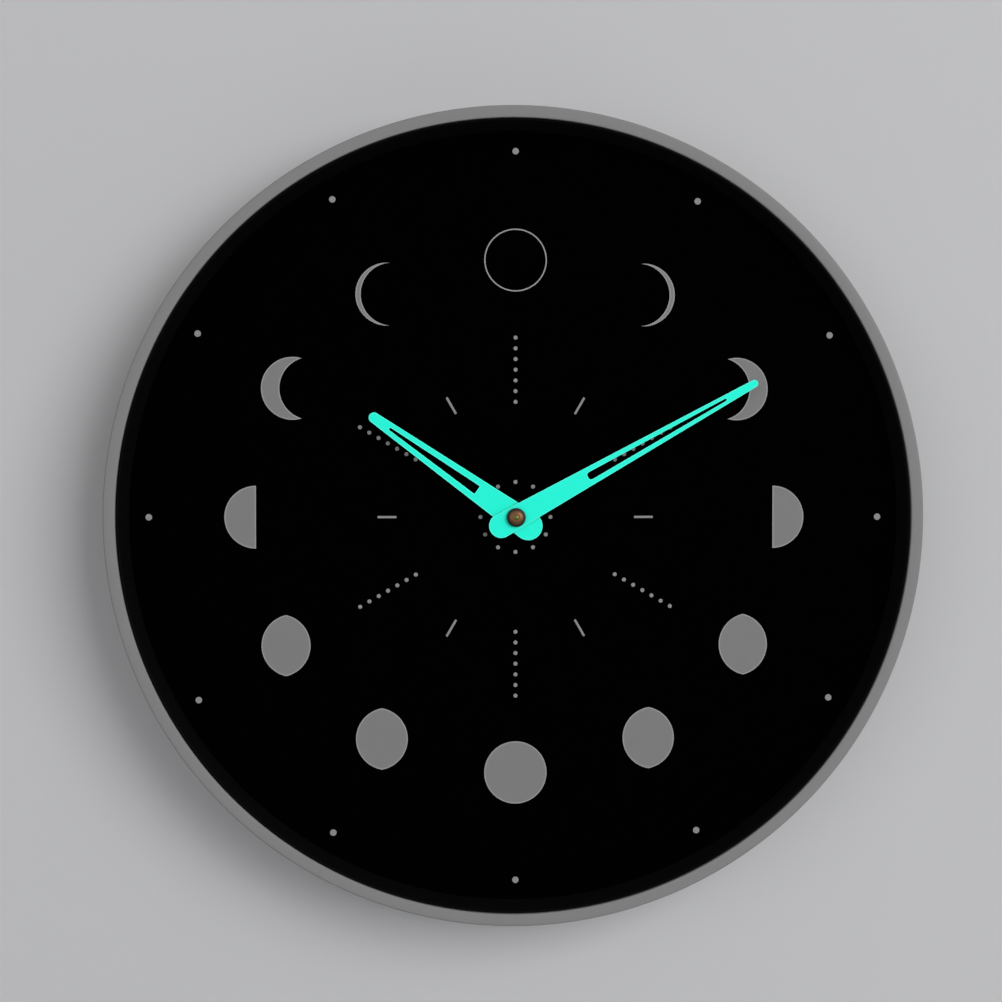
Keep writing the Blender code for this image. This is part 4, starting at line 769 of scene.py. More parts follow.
def make_plate(
    name: str, surface: Surface, finish: Finish, thickness: float, bevel: float, front: float = -1.0
) -> Piece:
    """Makes a plate of a flat surface, with its thickness behind its face and broken edges.

    Args:
        name: The piece's name.
        surface: The flat surface.
        finish: Its finish.
        thickness: Its thickness.
        bevel: The width of its broken edges.
        front: -1 where it faces -Y, 1 where it faces +Y.

    Returns:
        The object, at the origin.
    """
    piece = make_piece(name, surface, finish)
    bm = bmesh.new()
    bm.from_mesh(piece.data)
    bm.normal_update()
    bmesh.ops.reverse_faces(bm, faces=[face for face in bm.faces if face.normal.y * front < 0])
    bm.to_mesh(piece.data)
    bm.free()
    solid = piece.modifiers.new("thickness", "SOLIDIFY")
    solid.thickness = thickness
    solid.offset = -1.0
    edge = piece.modifiers.new("broken_edge", "BEVEL")
    edge.width = bevel
    edge.segments = 2
    edge.limit_method = "ANGLE"
    edge.angle_limit = BEVEL_ANGLE
    edge.harden_normals = True
    return piece


def mark_edge_distance(piece: Piece, edges: Sequence[Array]) -> None:
    """Stores how far each vertex lies from the nearest point of the piece's outlines.

    Args:
        piece: A flat piece.
        edges: (x, z) rows along each outline.
    """
    points = np.empty(len(piece.data.vertices) * 3)
    piece.data.vertices.foreach_get("co", points)
    flat = points.reshape(-1, 3)[:, (0, 2)]
    distance = np.full(len(flat), np.inf)
    outline = np.concatenate(edges)
    for part in np.array_split(outline, max(1, len(outline) // EDGE_BATCH)):
        gap = np.linalg.norm(flat[:, None] - part[None], axis=-1)
        distance = np.minimum(distance, gap.min(axis=1))
    attribute = piece.data.attributes.new(EDGE_ATTRIBUTE, "FLOAT", "POINT")
    attribute.data.foreach_set("value", distance.astype(np.float32))


def settle(piece: Piece, body: Body, slot: str, *nodes: str) -> None:
    """Rides a piece on a body and hides the CAD nodes it stands for.

    Args:
        piece: The finished piece.
        body: The body it moves with.
        slot: The record's material slot. Not used.
        *nodes: CAD nodes that it replaces.
    """
    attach(piece, body.value)
    if nodes:
        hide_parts(*nodes)
    LOG.info("%s: %d faces on %s", piece.name, len(piece.data.polygons), body.value)


def dress_nodes() -> None:
    """Gives every CAD node that stays its finish."""
    for finish, names in NODES_OF_FINISH.items():
        for name in names:
            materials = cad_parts[name].data.materials
            for index in range(len(materials)):
                materials[index] = finish.material()
            LOG.info("%s: %s", name, finish.name)


# Case, bezel and dial

@dataclass
class CaseRing:
    """The grey rim: a thin wall with a flat lip in front and eight hooks inside."""

    radius: float = 0.150
    wall: float = 0.0023
    depth: float = 0.032
    lip_width: float = 0.0045
    lip_thickness: float = 0.003
    cuts: tuple[float, ...] = (0.0003, 0.0004, 0.0009, 0.0005, 0.0002, 0.0006)
    hook_count: int = 8
    hook_reach: float = 0.0011
    hook_length: float = 0.0032
    hook_width: float = 0.009
    hook_front: float = -0.0217
    hook_cuts: tuple[float, ...] = (0.0001, 0.0002, 0.0005, 0.0001)
    hook_steps: int = 4

    def ring(self) -> Surface:
        """The wall and lip: an L-shaped profile with rounded corners, turned about the axis.

        Returns:
            The closed ring.
        """
        lip, inner, front = self.radius - self.lip_width, self.radius - self.wall, -self.depth
        behind = front + self.lip_thickness
        return revolved(filleted([
            (inner, 0.0), (self.radius, 0.0), (self.radius, front), (lip, front), (lip, behind),
            (inner, behind),
        ], self.cuts))

    def hooks(self) -> list[Surface]:
        """The snap hooks: wedges with a square catch on their front third and a slope behind.

        Returns:
            One block for each hook.
        """
        inner, catch = self.radius - self.wall, self.hook_front
        root, reach = inner + self.wall / 2, inner - self.hook_reach
        section = filleted([
            (root, catch), (reach, catch), (reach, catch + self.hook_length / 3),
            (root, catch + self.hook_length),
        ], self.hook_cuts, self.hook_steps)
        angles = (np.arange(self.hook_count) + 0.5) * math.tau / self.hook_count
        return [prism(section, self.hook_width / 2, angle) for angle in angles]

    def build(self) -> None:
        """Makes the rim and hides its CAD node."""
        piece = make_piece("rim", Surface.joined([self.ring(), *self.hooks()]), RIM_GREY)
        settle(piece, Body.CASE, "rim_grey", "case_ring")


@dataclass
class Bezel:
    """The black slope between the lip and the dial."""

    seat_radius: float = 0.1474
    riser_radius: float = 0.1452
    inner_radius: float = 0.1412
    land: float = 0.0006
    back: float = -0.0263
    flange_front: float = -0.0287
    top: float = -0.0312
    edge: float = 0.0003
    cuts: tuple[float, ...] = (0.0001, 0.0002, 0.0003, 0.0003, 0.0002, 0.0003, 0.0001)

    def build(self) -> None:
        """Makes the slope: a wedge profile with a small land on top, turned about the axis."""
        seat, riser, inner = self.seat_radius, self.riser_radius, self.inner_radius
        profile = filleted([
            (inner, self.back), (seat, self.back), (seat, self.flange_front),
            (riser, self.flange_front), (riser, self.top), (riser - self.land, self.top),
            (inner, self.back - self.edge),
        ], self.cuts)
        piece = make_piece("slope", revolved(profile), BEZEL_BLACK)
        settle(piece, Body.CASE, "bezel_black", "bezel_ring")


@dataclass
class Moon:
    """One printed moon: two lines that bound its lit side, on the right, about its own centre."""

    first: Array
    second: Array
    closed: bool = False

    LINE_POINTS = 97
    RING_POINTS = 192
    SHARES = 19
    RING_SHARES = 3

    @classmethod
    def crescent(cls, radius: float, width: float) -> "Moon":
        """A disc less an equal disc that lies a width to its left.

        The limb is R (cos tb, sin tb) with b = pi - h, the terminator (-w, 0) + R (cos th, sin th),
        where cos h = w / 2R and t runs from -1 to 1, so both meet in the horns.

        Args:
            radius: The disc's radius R.
            width: The crescent's width w.

        Returns:
            The moon.
        """
        horn = math.acos(width / 2 / radius)
        limb = arc(radius, horn - math.pi, math.pi - horn, cls.LINE_POINTS)
        return cls(arc(radius, -horn, horn, cls.LINE_POINTS, (-width, 0.0)), limb)

    @classmethod
    def half(cls, radius: float, step: float) -> "Moon":
        """The right half of a disc, s further out: x = s and the limb s + R (cos a, sin a).

        Args:
            radius: The disc's radius R.
            step: The distance s.

        Returns:
            The moon.
        """
        limb, out = arc(radius, -QUARTER, QUARTER, cls.LINE_POINTS), np.array([step, 0.0])
        return cls(limb * np.array([0.0, 1.0]) + out, limb + out)

    @classmethod
    def gibbous(cls, radius: float, missing: float) -> "Moon":
        """What a disc shares with an equal disc that lies m to its right.

        The limb is R (cos th, sin th) and the terminator (m - R cos th, R sin th), cos h = m / 2R.

        Args:
            radius: The disc's radius R.
            missing: The distance m.

        Returns:
            The moon.
        """
        horn = math.acos(missing / 2 / radius)
        limb = arc(radius, -horn, horn, cls.LINE_POINTS)
        return cls(limb * FLIP_X + np.array([missing, 0.0]), limb)

    @classmethod
    def full(cls, radius: float) -> "Moon":
        """A whole disc, between its left and its right half circle."""
        limb = arc(radius, -QUARTER, QUARTER, cls.LINE_POINTS)
        return cls(limb * FLIP_X, limb)

    @classmethod
    def outline(cls, radius: float, line: float) -> "Moon":
        """A new moon: the ring between two circles a line's width apart."""
        ring = circle(cls.RING_POINTS)
        return cls(ring * (radius - line), ring * radius, True)

    def mirrored(self) -> "Moon":
        """The same moon with its left side lit."""
        return Moon(self.first * FLIP_X, self.second * FLIP_X, self.closed)

    def surface(self, centre: Array, depth: float) -> Surface:
        """The moon's flat face at a centre, with its grid lines closest along its edges."""
        shares = eased(self.RING_SHARES if self.closed else self.SHARES)
        return ruled(self.first + centre, self.second + centre, shares, depth, self.closed)


@dataclass
class Dial:
    """The black dial with its moons, dots, dotted rows and dashes."""

    hole_radius: float = 0.0042
    radius: float = 0.1466
    front: float = -0.026
    back: float = -0.0248
    cut: float = 0.0001
    relief: float = 0.00025
    moon_circle: float = 0.0943
    moon_radius: float = 0.0115
    moon_line: float = 0.00045
    crescents: tuple[float, float] = (0.0019, 0.0067)
    gibbous_cuts: tuple[float, float] = (0.0051, 0.0040)
    half_moon_step: float = 0.0008
    hour_dot_circle: float = 0.1341
    hour_dot_radius: float = 0.0012
    hour_dot_sides: int = 40
    inner_circle: float = 0.01287
    row_outer: float = 0.0659
    row_step: float = 0.00393
    row_dots: int = 7
    small_dot_radius: float = 0.00075
    small_dot_sides: int = 24
    dot_rings: tuple[float, ...] = (0.0, 0.5, 0.75, 1.0)
    dash_circle: float = 0.04721
    dash_length: float = 0.0070
    dash_width: float = 0.0008
    dash_cut: float = 0.0002
    dash_steps: int = 4
    dash_points: int = 41
    dash_rows: int = 5

    THICKNESS_SHARE = 1.2  # a mark's thickness over its relief, so that its back sinks in
    BEVEL_SHARE = 0.3  # a mark's bevel over its relief

    def around(self, radius: float, hours: float) -> Array:
        """The (x, z) place at a radius in the direction of an hour."""
        return np.array(DIAL_AXIS) + radius * rays(np.array(clock_angle(hours)))

    def moons(self) -> dict[int, Moon]:
        """The moon of each hour: lit on the right from 1 to 5 and on the left from 7 to 11.

        Returns:
            The moons by hour.
        """
        radius = self.moon_radius
        waxing = [
            *(Moon.crescent(radius, width) for width in self.crescents),
            Moon.half(radius, self.half_moon_step),
            *(Moon.gibbous(radius, missing) for missing in self.gibbous_cuts),
        ]
        moons = {12: Moon.outline(radius, self.moon_line), 6: Moon.full(radius)}
        for hour, moon in enumerate(waxing, 1):
            moons[hour], moons[12 - hour] = moon, moon.mirrored()
        return moons

    def dot(self, radius: float, sides: int, place: Array) -> Surface:
        """A flat round dot: rings of points at growing shares of its radius.

        Args:
            radius: Its radius.
            sides: Points on each ring.
            place: Its centre.

        Returns:
            The flat face.
        """
        flat = place + np.array(self.dot_rings)[:, None, None] * radius * circle(sides)
        faces = grid_faces(len(self.dot_rings), sides, False, True)
        return Surface(in_space(flat, self.front - self.relief), faces)

    def dots(self) -> list[Surface]:
        """Every dot: the hour dots, the inner ring and the dotted rows of the even hours.

        Returns:
            Their flat faces.
        """
        dots: list[Surface] = []
        small = self.small_dot_radius, self.small_dot_sides
        row = [self.row_outer - i * self.row_step for i in range(self.row_dots)]
        for hour in range(12):
            place = self.around(self.hour_dot_circle, hour)
            dots.append(self.dot(self.hour_dot_radius, self.hour_dot_sides, place))
            circles = [self.inner_circle, *(row if hour % 2 == 0 else [])]
            dots += [self.dot(*small, self.around(radius, hour)) for radius in circles]
        return dots

    def dash(self, hour: int) -> Surface:
        """The flat face of a dash along an hour's radius, with softened corners.

        Args:
            hour: The hour.

        Returns:
            The flat face.
        """
        end, half = self.dash_length / 2, self.dash_width / 2
        cut, steps = self.dash_cut, self.dash_steps
        corners = [(-end, 0.0), (-end, half), (end, half), (end, 0.0)]
        line = filleted(corners, (0.0, cut, cut, 0.0), steps)[steps - 1:1 - steps]
        side = spread_evenly(line, self.dash_points)
        angle, place = clock_angle(hour), self.around(self.dash_circle, hour)
        upper, lower = turned(side, angle, place), turned(side * FLIP_Z, angle, place)
        return ruled(upper, lower, np.linspace(0.0, 1.0, self.dash_rows), self.front - self.relief)

    def printed(self, name: str, finish: Finish, marks: Iterable[Surface]) -> Piece:
        """Prints marks on the dial: flat faces that stand a film's thickness proud of it.

        Args:
            name: The piece's name.
            finish: Its finish.
            marks: The flat faces.

        Returns:
            The piece, settled on the case.
        """
        thickness, bevel = self.relief * self.THICKNESS_SHARE, self.relief * self.BEVEL_SHARE
        piece = make_plate(name, Surface.joined(marks), finish, thickness, bevel)
        settle(piece, Body.CASE, "dial_black")
        return piece

    def build(self) -> None:
        """Makes the dial and its marks and hides the CAD dial."""
        hole, rim = self.hole_radius, self.radius
        corners = [(hole, self.front), (rim, self.front), (rim, self.back), (hole, self.back)]
        profile = filleted(corners, [self.cut] * len(corners), steps=3)
        disc = make_piece("dial_disc", revolved(profile), DIAL_BLACK)
        settle(disc, Body.CASE, "dial_black", "dial")
        face = self.front - self.relief
        moons = [(moon, self.around(self.moon_circle, hour)) for hour, moon in self.moons().items()]
        piece = self.printed("moons", MARK_GREY, [moon.surface(at, face) for moon, at in moons])
        # Distances for the painted highlight along each moon's outline.
        mark_edge_distance(piece, [
            line + at for moon, at in moons for line in (moon.first, moon.second)
        ])
        self.printed("dots", DOT_GREY, self.dots())
        self.printed("dashes", DOT_GREY, [self.dash(hour) for hour in range(1, 12, 2)])


# Hands

@dataclass(frozen=True)
class Slot:
    """A hand's tapering slot: its start and end, its width at each, and its corners' cut."""

    start: float
    end: float
    width: float
    tip_width: float
    corner: float


@dataclass
class Hand:
    """A straight-sided stamped hand with a round tip and tail and a tapering slot.

    Attributes:
        name: The piece's name.
        body: The body it rides.
        node: The CAD node it stands for.
        hours: The hour it points at.
        length: From the axis to the tip.
        width: At the axis.
        taper: Lost width over length.
        front: The y of its face.
        hole: Radius of the hole for its pipe.
        slot: Its slot.
        tail: From the axis to the tail's end.
        thickness: Its thickness.
        bevel: The width of its broken edges.
    """

    name: str
    body: Body
    node: str
    hours: float
    length: float
    width: float
    taper: float
    front: float
    hole: float
    slot: Slot
    tail: float = 0.0107
    thickness: float = 0.0005
    bevel: float = 0.00008

    BLADE_POINTS = 161
    ROOT_POINTS = 81
    CUT_POINTS = 9
    TIP_STEPS = 24
    TAIL_STEPS = 40
    SLOT_CORNER_STEPS = 6
    SLOT_TIP_STEPS = 16
    SHARES = 13
    FREE_SHARE = 0.98  # the root's outline counts as an edge up to this share of the slot's start

    @property
    def lean(self) -> float:
        """The angle between a side and the hand's axis."""
        return math.atan(self.taper / 2)

    def half_width(self, x: Array) -> Array:
        """Half the hand's width at a distance from the axis: (w - taper x) / 2."""
        return (self.width - self.taper * x) / 2

    def ends(self) -> tuple[Point, Point]:
        """The circles of the tip and the tail, to which both sides are tangent.

        Returns:
            The place along the hand and the radius of each.
        """
        apex, sine = self.width / self.taper, math.sin(self.lean)
        tip = (apex - self.length) * sine / (1 - sine)
        tail = (apex + self.tail) * sine / (1 + sine)
        return (self.length - tip, tip), (tail - self.tail, tail)

    def side(self, end: Point, last: float, steps: int, count: int) -> Array:
        """The upper edge from the slot's start to the hand's axis, round one of its ends.

        Args:
            end: The circle of the tip or the tail.
            last: The angle at which the circle meets the axis.
            steps: Points on the circle.
            count: Points in all.

        Returns:
            (x, z) rows.
        """
        middle, radius = end
        x = np.array([self.slot.start, middle + radius * math.sin(self.lean)])
        straight = np.stack([x, self.half_width(x)], axis=-1)
        bend = arc(radius, QUARTER - self.lean, last, steps, (middle, 0.0))
        return spread_evenly(np.concatenate([straight, bend]), count)

    def slot_side(self, count: int) -> Array:
        """The slot's upper edge, from the middle of its start to its tip on the axis.

        Args:
            count: Points in all.

        Returns:
            (x, z) rows.
        """
        slot, steps = self.slot, self.SLOT_CORNER_STEPS
        start, half, tip = (slot.start, 0.0), slot.width / 2, slot.tip_width / 2
        corners = [start, (slot.start, half), (slot.end, tip)]
        corner = filleted(corners, (0.0, slot.corner, 0.0), steps)[steps:2 * steps]
        bend = arc(tip, QUARTER, 0.0, self.SLOT_TIP_STEPS, (slot.end - tip, 0.0))
        return np.concatenate([[start], spread_evenly(np.concatenate([corner, bend]), count - 1)])

    def blade(self) -> list[tuple[Array, Array]]:
        """The lines that bound the blade from the slot's start outwards.

        Returns:
            The inner and the outer line of its upper and of its lower half.
        """
        slot = self.slot_side(self.BLADE_POINTS)
        outer = self.side(self.ends()[0], 0.0, self.TIP_STEPS, self.BLADE_POINTS)
        return [(slot, outer), (slot * FLIP_Z, outer * FLIP_Z)]

    def root(self) -> tuple[Array, Array]:
        """Two loops round the hub: the hole, and the outline from the slot's start round the tail.

        Returns:
            Both loops, point by point in the same directions.
        """
        half = self.side(self.ends()[1], math.pi, self.TAIL_STEPS, self.ROOT_POINTS)
        rise = np.linspace(0.0, half[0, 1], self.CUT_POINTS)[:-1]
        cut = np.stack([np.full(len(rise), self.slot.start), rise], axis=-1)
        over = np.concatenate([cut, half])
        outline = np.concatenate([over, (over * FLIP_Z)[::-1][1:-1]])
        angle = np.arctan2(outline[:, 1], outline[:, 0])
        angle[len(over) - 1] = math.pi
        return self.hole * rays(angle), outline

    def build(self) -> None:
        """Makes the hand: flat strips between its outlines, given thickness and broken edges."""
        angle, shares = clock_angle(self.hours), eased(self.SHARES)
        blade = [(turned(inner, angle), turned(outer, angle)) for inner, outer in self.blade()]
        hole, outline = (turned(line, angle) for line in self.root())
        parts = [ruled(inner, outer, shares, self.front) for inner, outer in blade]
        parts.append(ruled(hole, outline, shares, self.front, True))
        surface = Surface.joined(parts)
        piece = make_plate(self.name, surface, HAND_TURQUOISE, self.thickness, self.bevel)
        reach = np.linalg.norm(outline - np.array(DIAL_AXIS), axis=1)
        free = outline[reach < self.slot.start * self.FREE_SHARE]
        mark_edge_distance(piece, [*(line for pair in blade for line in pair), hole, free])
        settle(piece, self.body, "hand_turquoise", self.node)


@dataclass
class CapNut:
    """The small closed nut in front of the hands: a rim in painted dark reflection, a brown face, a
    middle in painted highlight.
    """

    back: float = -0.0326
    flange: float = 0.0006
    rim_drop: float = 0.0002
    height: float = 0.0023
    radius: float = 0.00345
    face_radius: float = 0.0026
    bore: float = 0.0017
    face_rise: float = 0.00075
    face_top: float = 0.0003
    dome_height: float = 0.0005
    rim_cuts: tuple[float, ...] = (0.0001, 0.0001, 0.0002, 0.0001, 0.0001)
    face_cuts: tuple[float, ...] = (0.0001, 0.0003, 0.0003, 0.0001, 0.0001)

    SHOULDER_SHARE = 0.62  # of the face's radius, as are the bore's and the dome's
    BORE_SHARE = 0.3
    DOME_SHARE = 0.42
    FACE_STEPS = 6
    DOME_STEPS = 10

    def build(self) -> None:
        """Makes the nut as three turned rings that meet in one profile."""
        front, rim = self.back - self.height, self.back - self.flange
        r, drop = self.face_radius, self.rim_drop
        rim_part = filleted([
            (self.bore, self.back), (self.radius, self.back), (self.radius, rim - drop),
            (r, rim - 2 * drop), (self.bore, rim),
        ], self.rim_cuts)
        top, shoulder, bore = front + self.face_top, r * self.SHOULDER_SHARE, r * self.BORE_SHARE
        face_part = filleted([
            (r, rim), (r, front + self.face_rise), (shoulder, top), (bore, top), (bore, rim),
        ], self.face_cuts, self.FACE_STEPS)
        dome, rise = r * self.DOME_SHARE, self.dome_height
        bend = arc((dome, -rise), 0.0, QUARTER, self.DOME_STEPS, (0.0, front + rise))
        top_part = np.concatenate([[(0.0, rim), (dome, rim)], bend])
        # Three tones: the rim's painted dark reflection, the brown face and the middle's painted
        # highlight.
        for name, profile, finish, closed, nodes in (
            ("cap_rim", rim_part, CAP_RIM_DARK_REFLECTION, True, ("cap_nut",)),
            ("cap_face", face_part, CAP_FACE, True, ()),
            ("cap_top", top_part, CAP_TOP_HIGHLIGHT, False, ()),
        ):
            piece = make_piece(name, revolved(profile, SMALL_SIDES, closed=closed), finish)
            settle(piece, Body.MINUTE, "brass", *nodes)


# Hanger, knob, cell and the lid's signs

@dataclass
class HangerPlate:
    """The steel plate with a keyhole, stood off from the back plate on two posts."""

    half_width: float = 0.020
    corner: float = 0.005
    margin: float = 0.006
    slot_radius: float = 0.0026
    entry_radius: float = 0.005
    entry_drop: float = 0.009
    directions: int = 480
    shares: tuple[float, ...] = (0.0, 0.04, 0.5, 0.97, 1.0)
    bevel: float = 0.00015

    SLOT_STEPS = 40
    ENTRY_STEPS = 120
    CORNER_STEPS = 16

    def keyhole(self) -> Array:
        """The keyhole's outline: a half circle round the nail, straight sides, the entry below.

        Returns:
            (x, z) rows.
        """
        side = math.asin(self.slot_radius / self.entry_radius)
        low, start, end = (0.0, -self.entry_drop), QUARTER + side, 5 * QUARTER - side
        top = arc(self.slot_radius, 0.0, math.pi, self.SLOT_STEPS)
        return np.concatenate([top, arc(self.entry_radius, start, end, self.ENTRY_STEPS, low)])

    def outline(self) -> Array:
        """The plate's outline: a rectangle round the keyhole with rounded corners.

        Returns:
            (x, z) rows.
        """
        r, x = self.corner, self.half_width - self.corner
        top = self.slot_radius + self.margin - r
        bottom = r - self.entry_drop - self.entry_radius - self.margin
        return np.concatenate([
            arc(r, turn * QUARTER, (turn + 1) * QUARTER, self.CORNER_STEPS, centre)
            for turn, centre in enumerate([(x, top), (-x, top), (-x, bottom), (x, bottom)])
        ])

    def build(self) -> None:
        """Makes the plate as a flat strip between keyhole and outline, and hides its CAD node."""
        low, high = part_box("hanger_plate")
        angles = np.linspace(-math.pi, math.pi, self.directions, endpoint=False)
        centre = (0.0, -self.entry_drop)
        hole, outline = (
            seen_from(line, centre, angles) for line in (self.keyhole(), self.outline())
        )
        flat = ruled(hole, outline, np.array(self.shares), low.y, True)
        piece = make_plate("hanger", flat, ZINC, high.y - low.y, self.bevel)
        settle(piece, Body.CASE, "steel", "hanger_plate")


@dataclass
class HangerScrew:
    """A pan-head screw with a cross recess in its head."""

    node: str
    shank: float = 0.0013
    head: float = 0.0026
    head_height: float = 0.0014
    recess_length: float = 0.0015
    recess_half_width: float = 0.00034
    recess_depth: float = 0.0007
    recess_slope: float = 0.0003
    flat_drop: float = 0.0001
    sides: int = 144

    FLAT_SHARE = 1.1  # the flat top's radius over the recess's length
    DOME_SHARE = 1.12  # where the dome starts, over the recess's length
    RIM_SHARE = 1.5  # where an arm's wall ends, over its half width
    FLAT_STEPS = 20
    DOME_STEPS = 40

    def recessed(self, angle: Array, radius: Array, depth: Array) -> tuple[Array, Array]:
        """Sinks a cross into the head: where |x| or |z| is within the arm's half width.

        Args:
            angle: Angle of each point.
            radius: Its radius.
            depth: Its y.

        Returns:
            The same radius, and the depth less the recess.
        """
        x, z = np.abs(radius * np.cos(angle)), np.abs(radius * np.sin(angle))
        across, along = np.minimum(x, z), np.maximum(x, z)
        wall = np.clip(self.RIM_SHARE - across / self.recess_half_width, 0.0, 1.0)
        end = np.clip((self.recess_length - along) / self.recess_slope, 0.0, 1.0)
        in_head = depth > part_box(self.node)[1].y - self.recess_depth
        return radius, depth - self.recess_depth * wall * end * in_head

    def build(self) -> None:
        """Makes the screw about its own axis and hides its CAD node."""
        low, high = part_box(self.node)
        half = self.head_height / 2
        seat = high.y - self.head_height
        dome = arc((self.head, half), 0.0, QUARTER, self.DOME_STEPS, (0.0, seat + half))
        flat = np.linspace(self.recess_length * self.FLAT_SHARE, 0.0, self.FLAT_STEPS)
        profile = np.concatenate([
            [(0.0, low.y), (self.shank, low.y + self.shank), (self.shank, seat), (self.head, seat)],
            dome[dome[:, 0] > self.recess_length * self.DOME_SHARE],
            np.stack([flat, np.full(len(flat), high.y - self.flat_drop)], axis=-1),
        ])
        name = self.node.replace("hanger_screw", "cross_screw")
        surface = revolved(profile, self.sides, axis_of(self.node), False, self.recessed)
        settle(make_piece(name, surface, SCREW_ZINC), Body.CASE, "steel", self.node)


@dataclass
class SettingKnob:
    """The knob that sets the hands: a disc with a scalloped edge and a dished face."""

    scallops: int = 14
    scallop_depth: float = 0.0004
    scallop_steps: int = 16
    dish_radius: float = 0.0029
    dish_depth: float = 0.0005
    dish_slope: float = 0.0003
    plain_width: float = 0.0006
    cuts: tuple[float, ...] = (0.0003, 0.0005, 0.0002, 0.0002)
    cut_steps: int = 6

    def build(self) -> None:
        """Makes the knob: r falls by half a scallop's depth times 1 - cos(14 a) at its edge."""
        low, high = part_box("setting_knob")
        r, dish, floor = (high.x - low.x) / 2, self.dish_radius, high.y - self.dish_depth
        steps, plain = self.cut_steps, dish + self.plain_width
        corners = [(0.0, low.y), (r, low.y), (r, high.y), (dish + self.dish_slope, high.y),
                   (dish, floor), (0.0, floor)]
        round_part = filleted(corners, (0.0, *self.cuts, 0.0), steps)[steps:-steps]
        profile = np.concatenate([[(0.0, low.y)], round_part, [(0.0, floor)]])

        def scalloped(angle: Array, radius: Array, depth: Array) -> tuple[Array, Array]:
            """Draws the edge in between its scallops' tips.

            Args:
                angle: Angle of each point.
                radius: Its radius.
                depth: Its y.

            Returns:
                The drawn radius and the same depth.
            """
            share = np.clip((radius - plain) / (r - plain), 0.0, 1.0)
            wave = (1 - np.cos(self.scallops * angle)) / 2
            return radius - self.scallop_depth * wave * share, depth

        sides = self.scallops * self.scallop_steps
        surface = revolved(profile, sides, axis_of("setting_knob"), False, scalloped)
        piece = make_piece("hand_setting_knob", surface, ACETAL)
        settle(piece, Body.MOTION, "white_plastic", "setting_knob")


@dataclass
class Battery:
    """One AA cell: a plain two-tone sleeve rolled over the edges of its steel ends."""

    nub_radius: float = 0.00275
    nub_height: float = 0.00125
    nub_round: float = 0.0005
    band_share: float = 0.28
    sleeve: float = 0.0003
    roll: float = 0.0008
    rim: float = 0.0012
    steel_inset: float = 0.00032
    steel_cut: float = 0.0008
    end_inset: float = 0.0002
    cut_length: float = 0.0012
    bend_steps: int = 8

    def tube(self, start: float, end: float, radius: float, at_start: bool) -> Array:
        """A thin tube's profile along the cell, with one end rolled inwards over the steel.

        Args:
            start: Where it starts along the cell.
            end: Where it ends.
            radius: Its outer radius.
            at_start: Whether it is rolled at its start, or else at its end.

        Returns:
            (radius, length) rows of a closed loop.
        """
        inner, rim, roll = radius - self.sleeve, radius - self.rim, self.roll
        inside = [(inner, end - roll), (inner, start + roll)]
        if at_start:
            bend = arc(roll, -QUARTER, 0.0, self.bend_steps, (radius - roll, start + roll))
            parts = [bend, [(radius, end)], inside, [(rim, start + self.sleeve), (rim, start)]]
        else:
            bend = arc(roll, 0.0, QUARTER, self.bend_steps, (radius - roll, end - roll))
            parts = [[(radius, start)], bend, [(rim, end), (rim, end - self.sleeve)], inside]
        return np.concatenate(parts)

    def build(self) -> None:
        """Makes the sleeve, its band and the steel inside, about the cell's axis."""
        low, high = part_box("battery")
        radius = (high.z - low.z) / 2
        shoulder = high.x - self.nub_height
        split = shoulder - (shoulder - low.x) * self.band_share
        steel, nub = radius - self.steel_inset, self.nub_round
        cut, start, end = steel - self.steel_cut, low.x + self.end_inset, shoulder - self.end_inset
        bend = arc(nub, 0.0, QUARTER, self.bend_steps, (self.nub_radius - nub, high.x - nub))
        core = np.concatenate([
            [(0.0, start), (cut, start), (steel, low.x + self.cut_length)],
            [(steel, shoulder - self.cut_length), (cut, end), (self.nub_radius, end)],
            bend, [(0.0, high.x)],
        ])
        centre = ((low.y + high.y) / 2, (low.z + high.z) / 2)
        for name, profile, closed, finish, nodes in (
            ("cell_sleeve_tube", self.tube(low.x, split, radius, True), True, CELL_SLEEVE, ()),
            ("cell_sleeve_band", self.tube(split, shoulder, radius, False), True, CELL_BAND, ()),
            ("cell_steel", core, False, CELL_END, ("battery",)),
        ):
            surface = revolved(profile, SMALL_SIDES, centre, closed).laid_along_x()
            settle(make_piece(name, surface, finish), Body.BATTERY, "battery", *nodes)


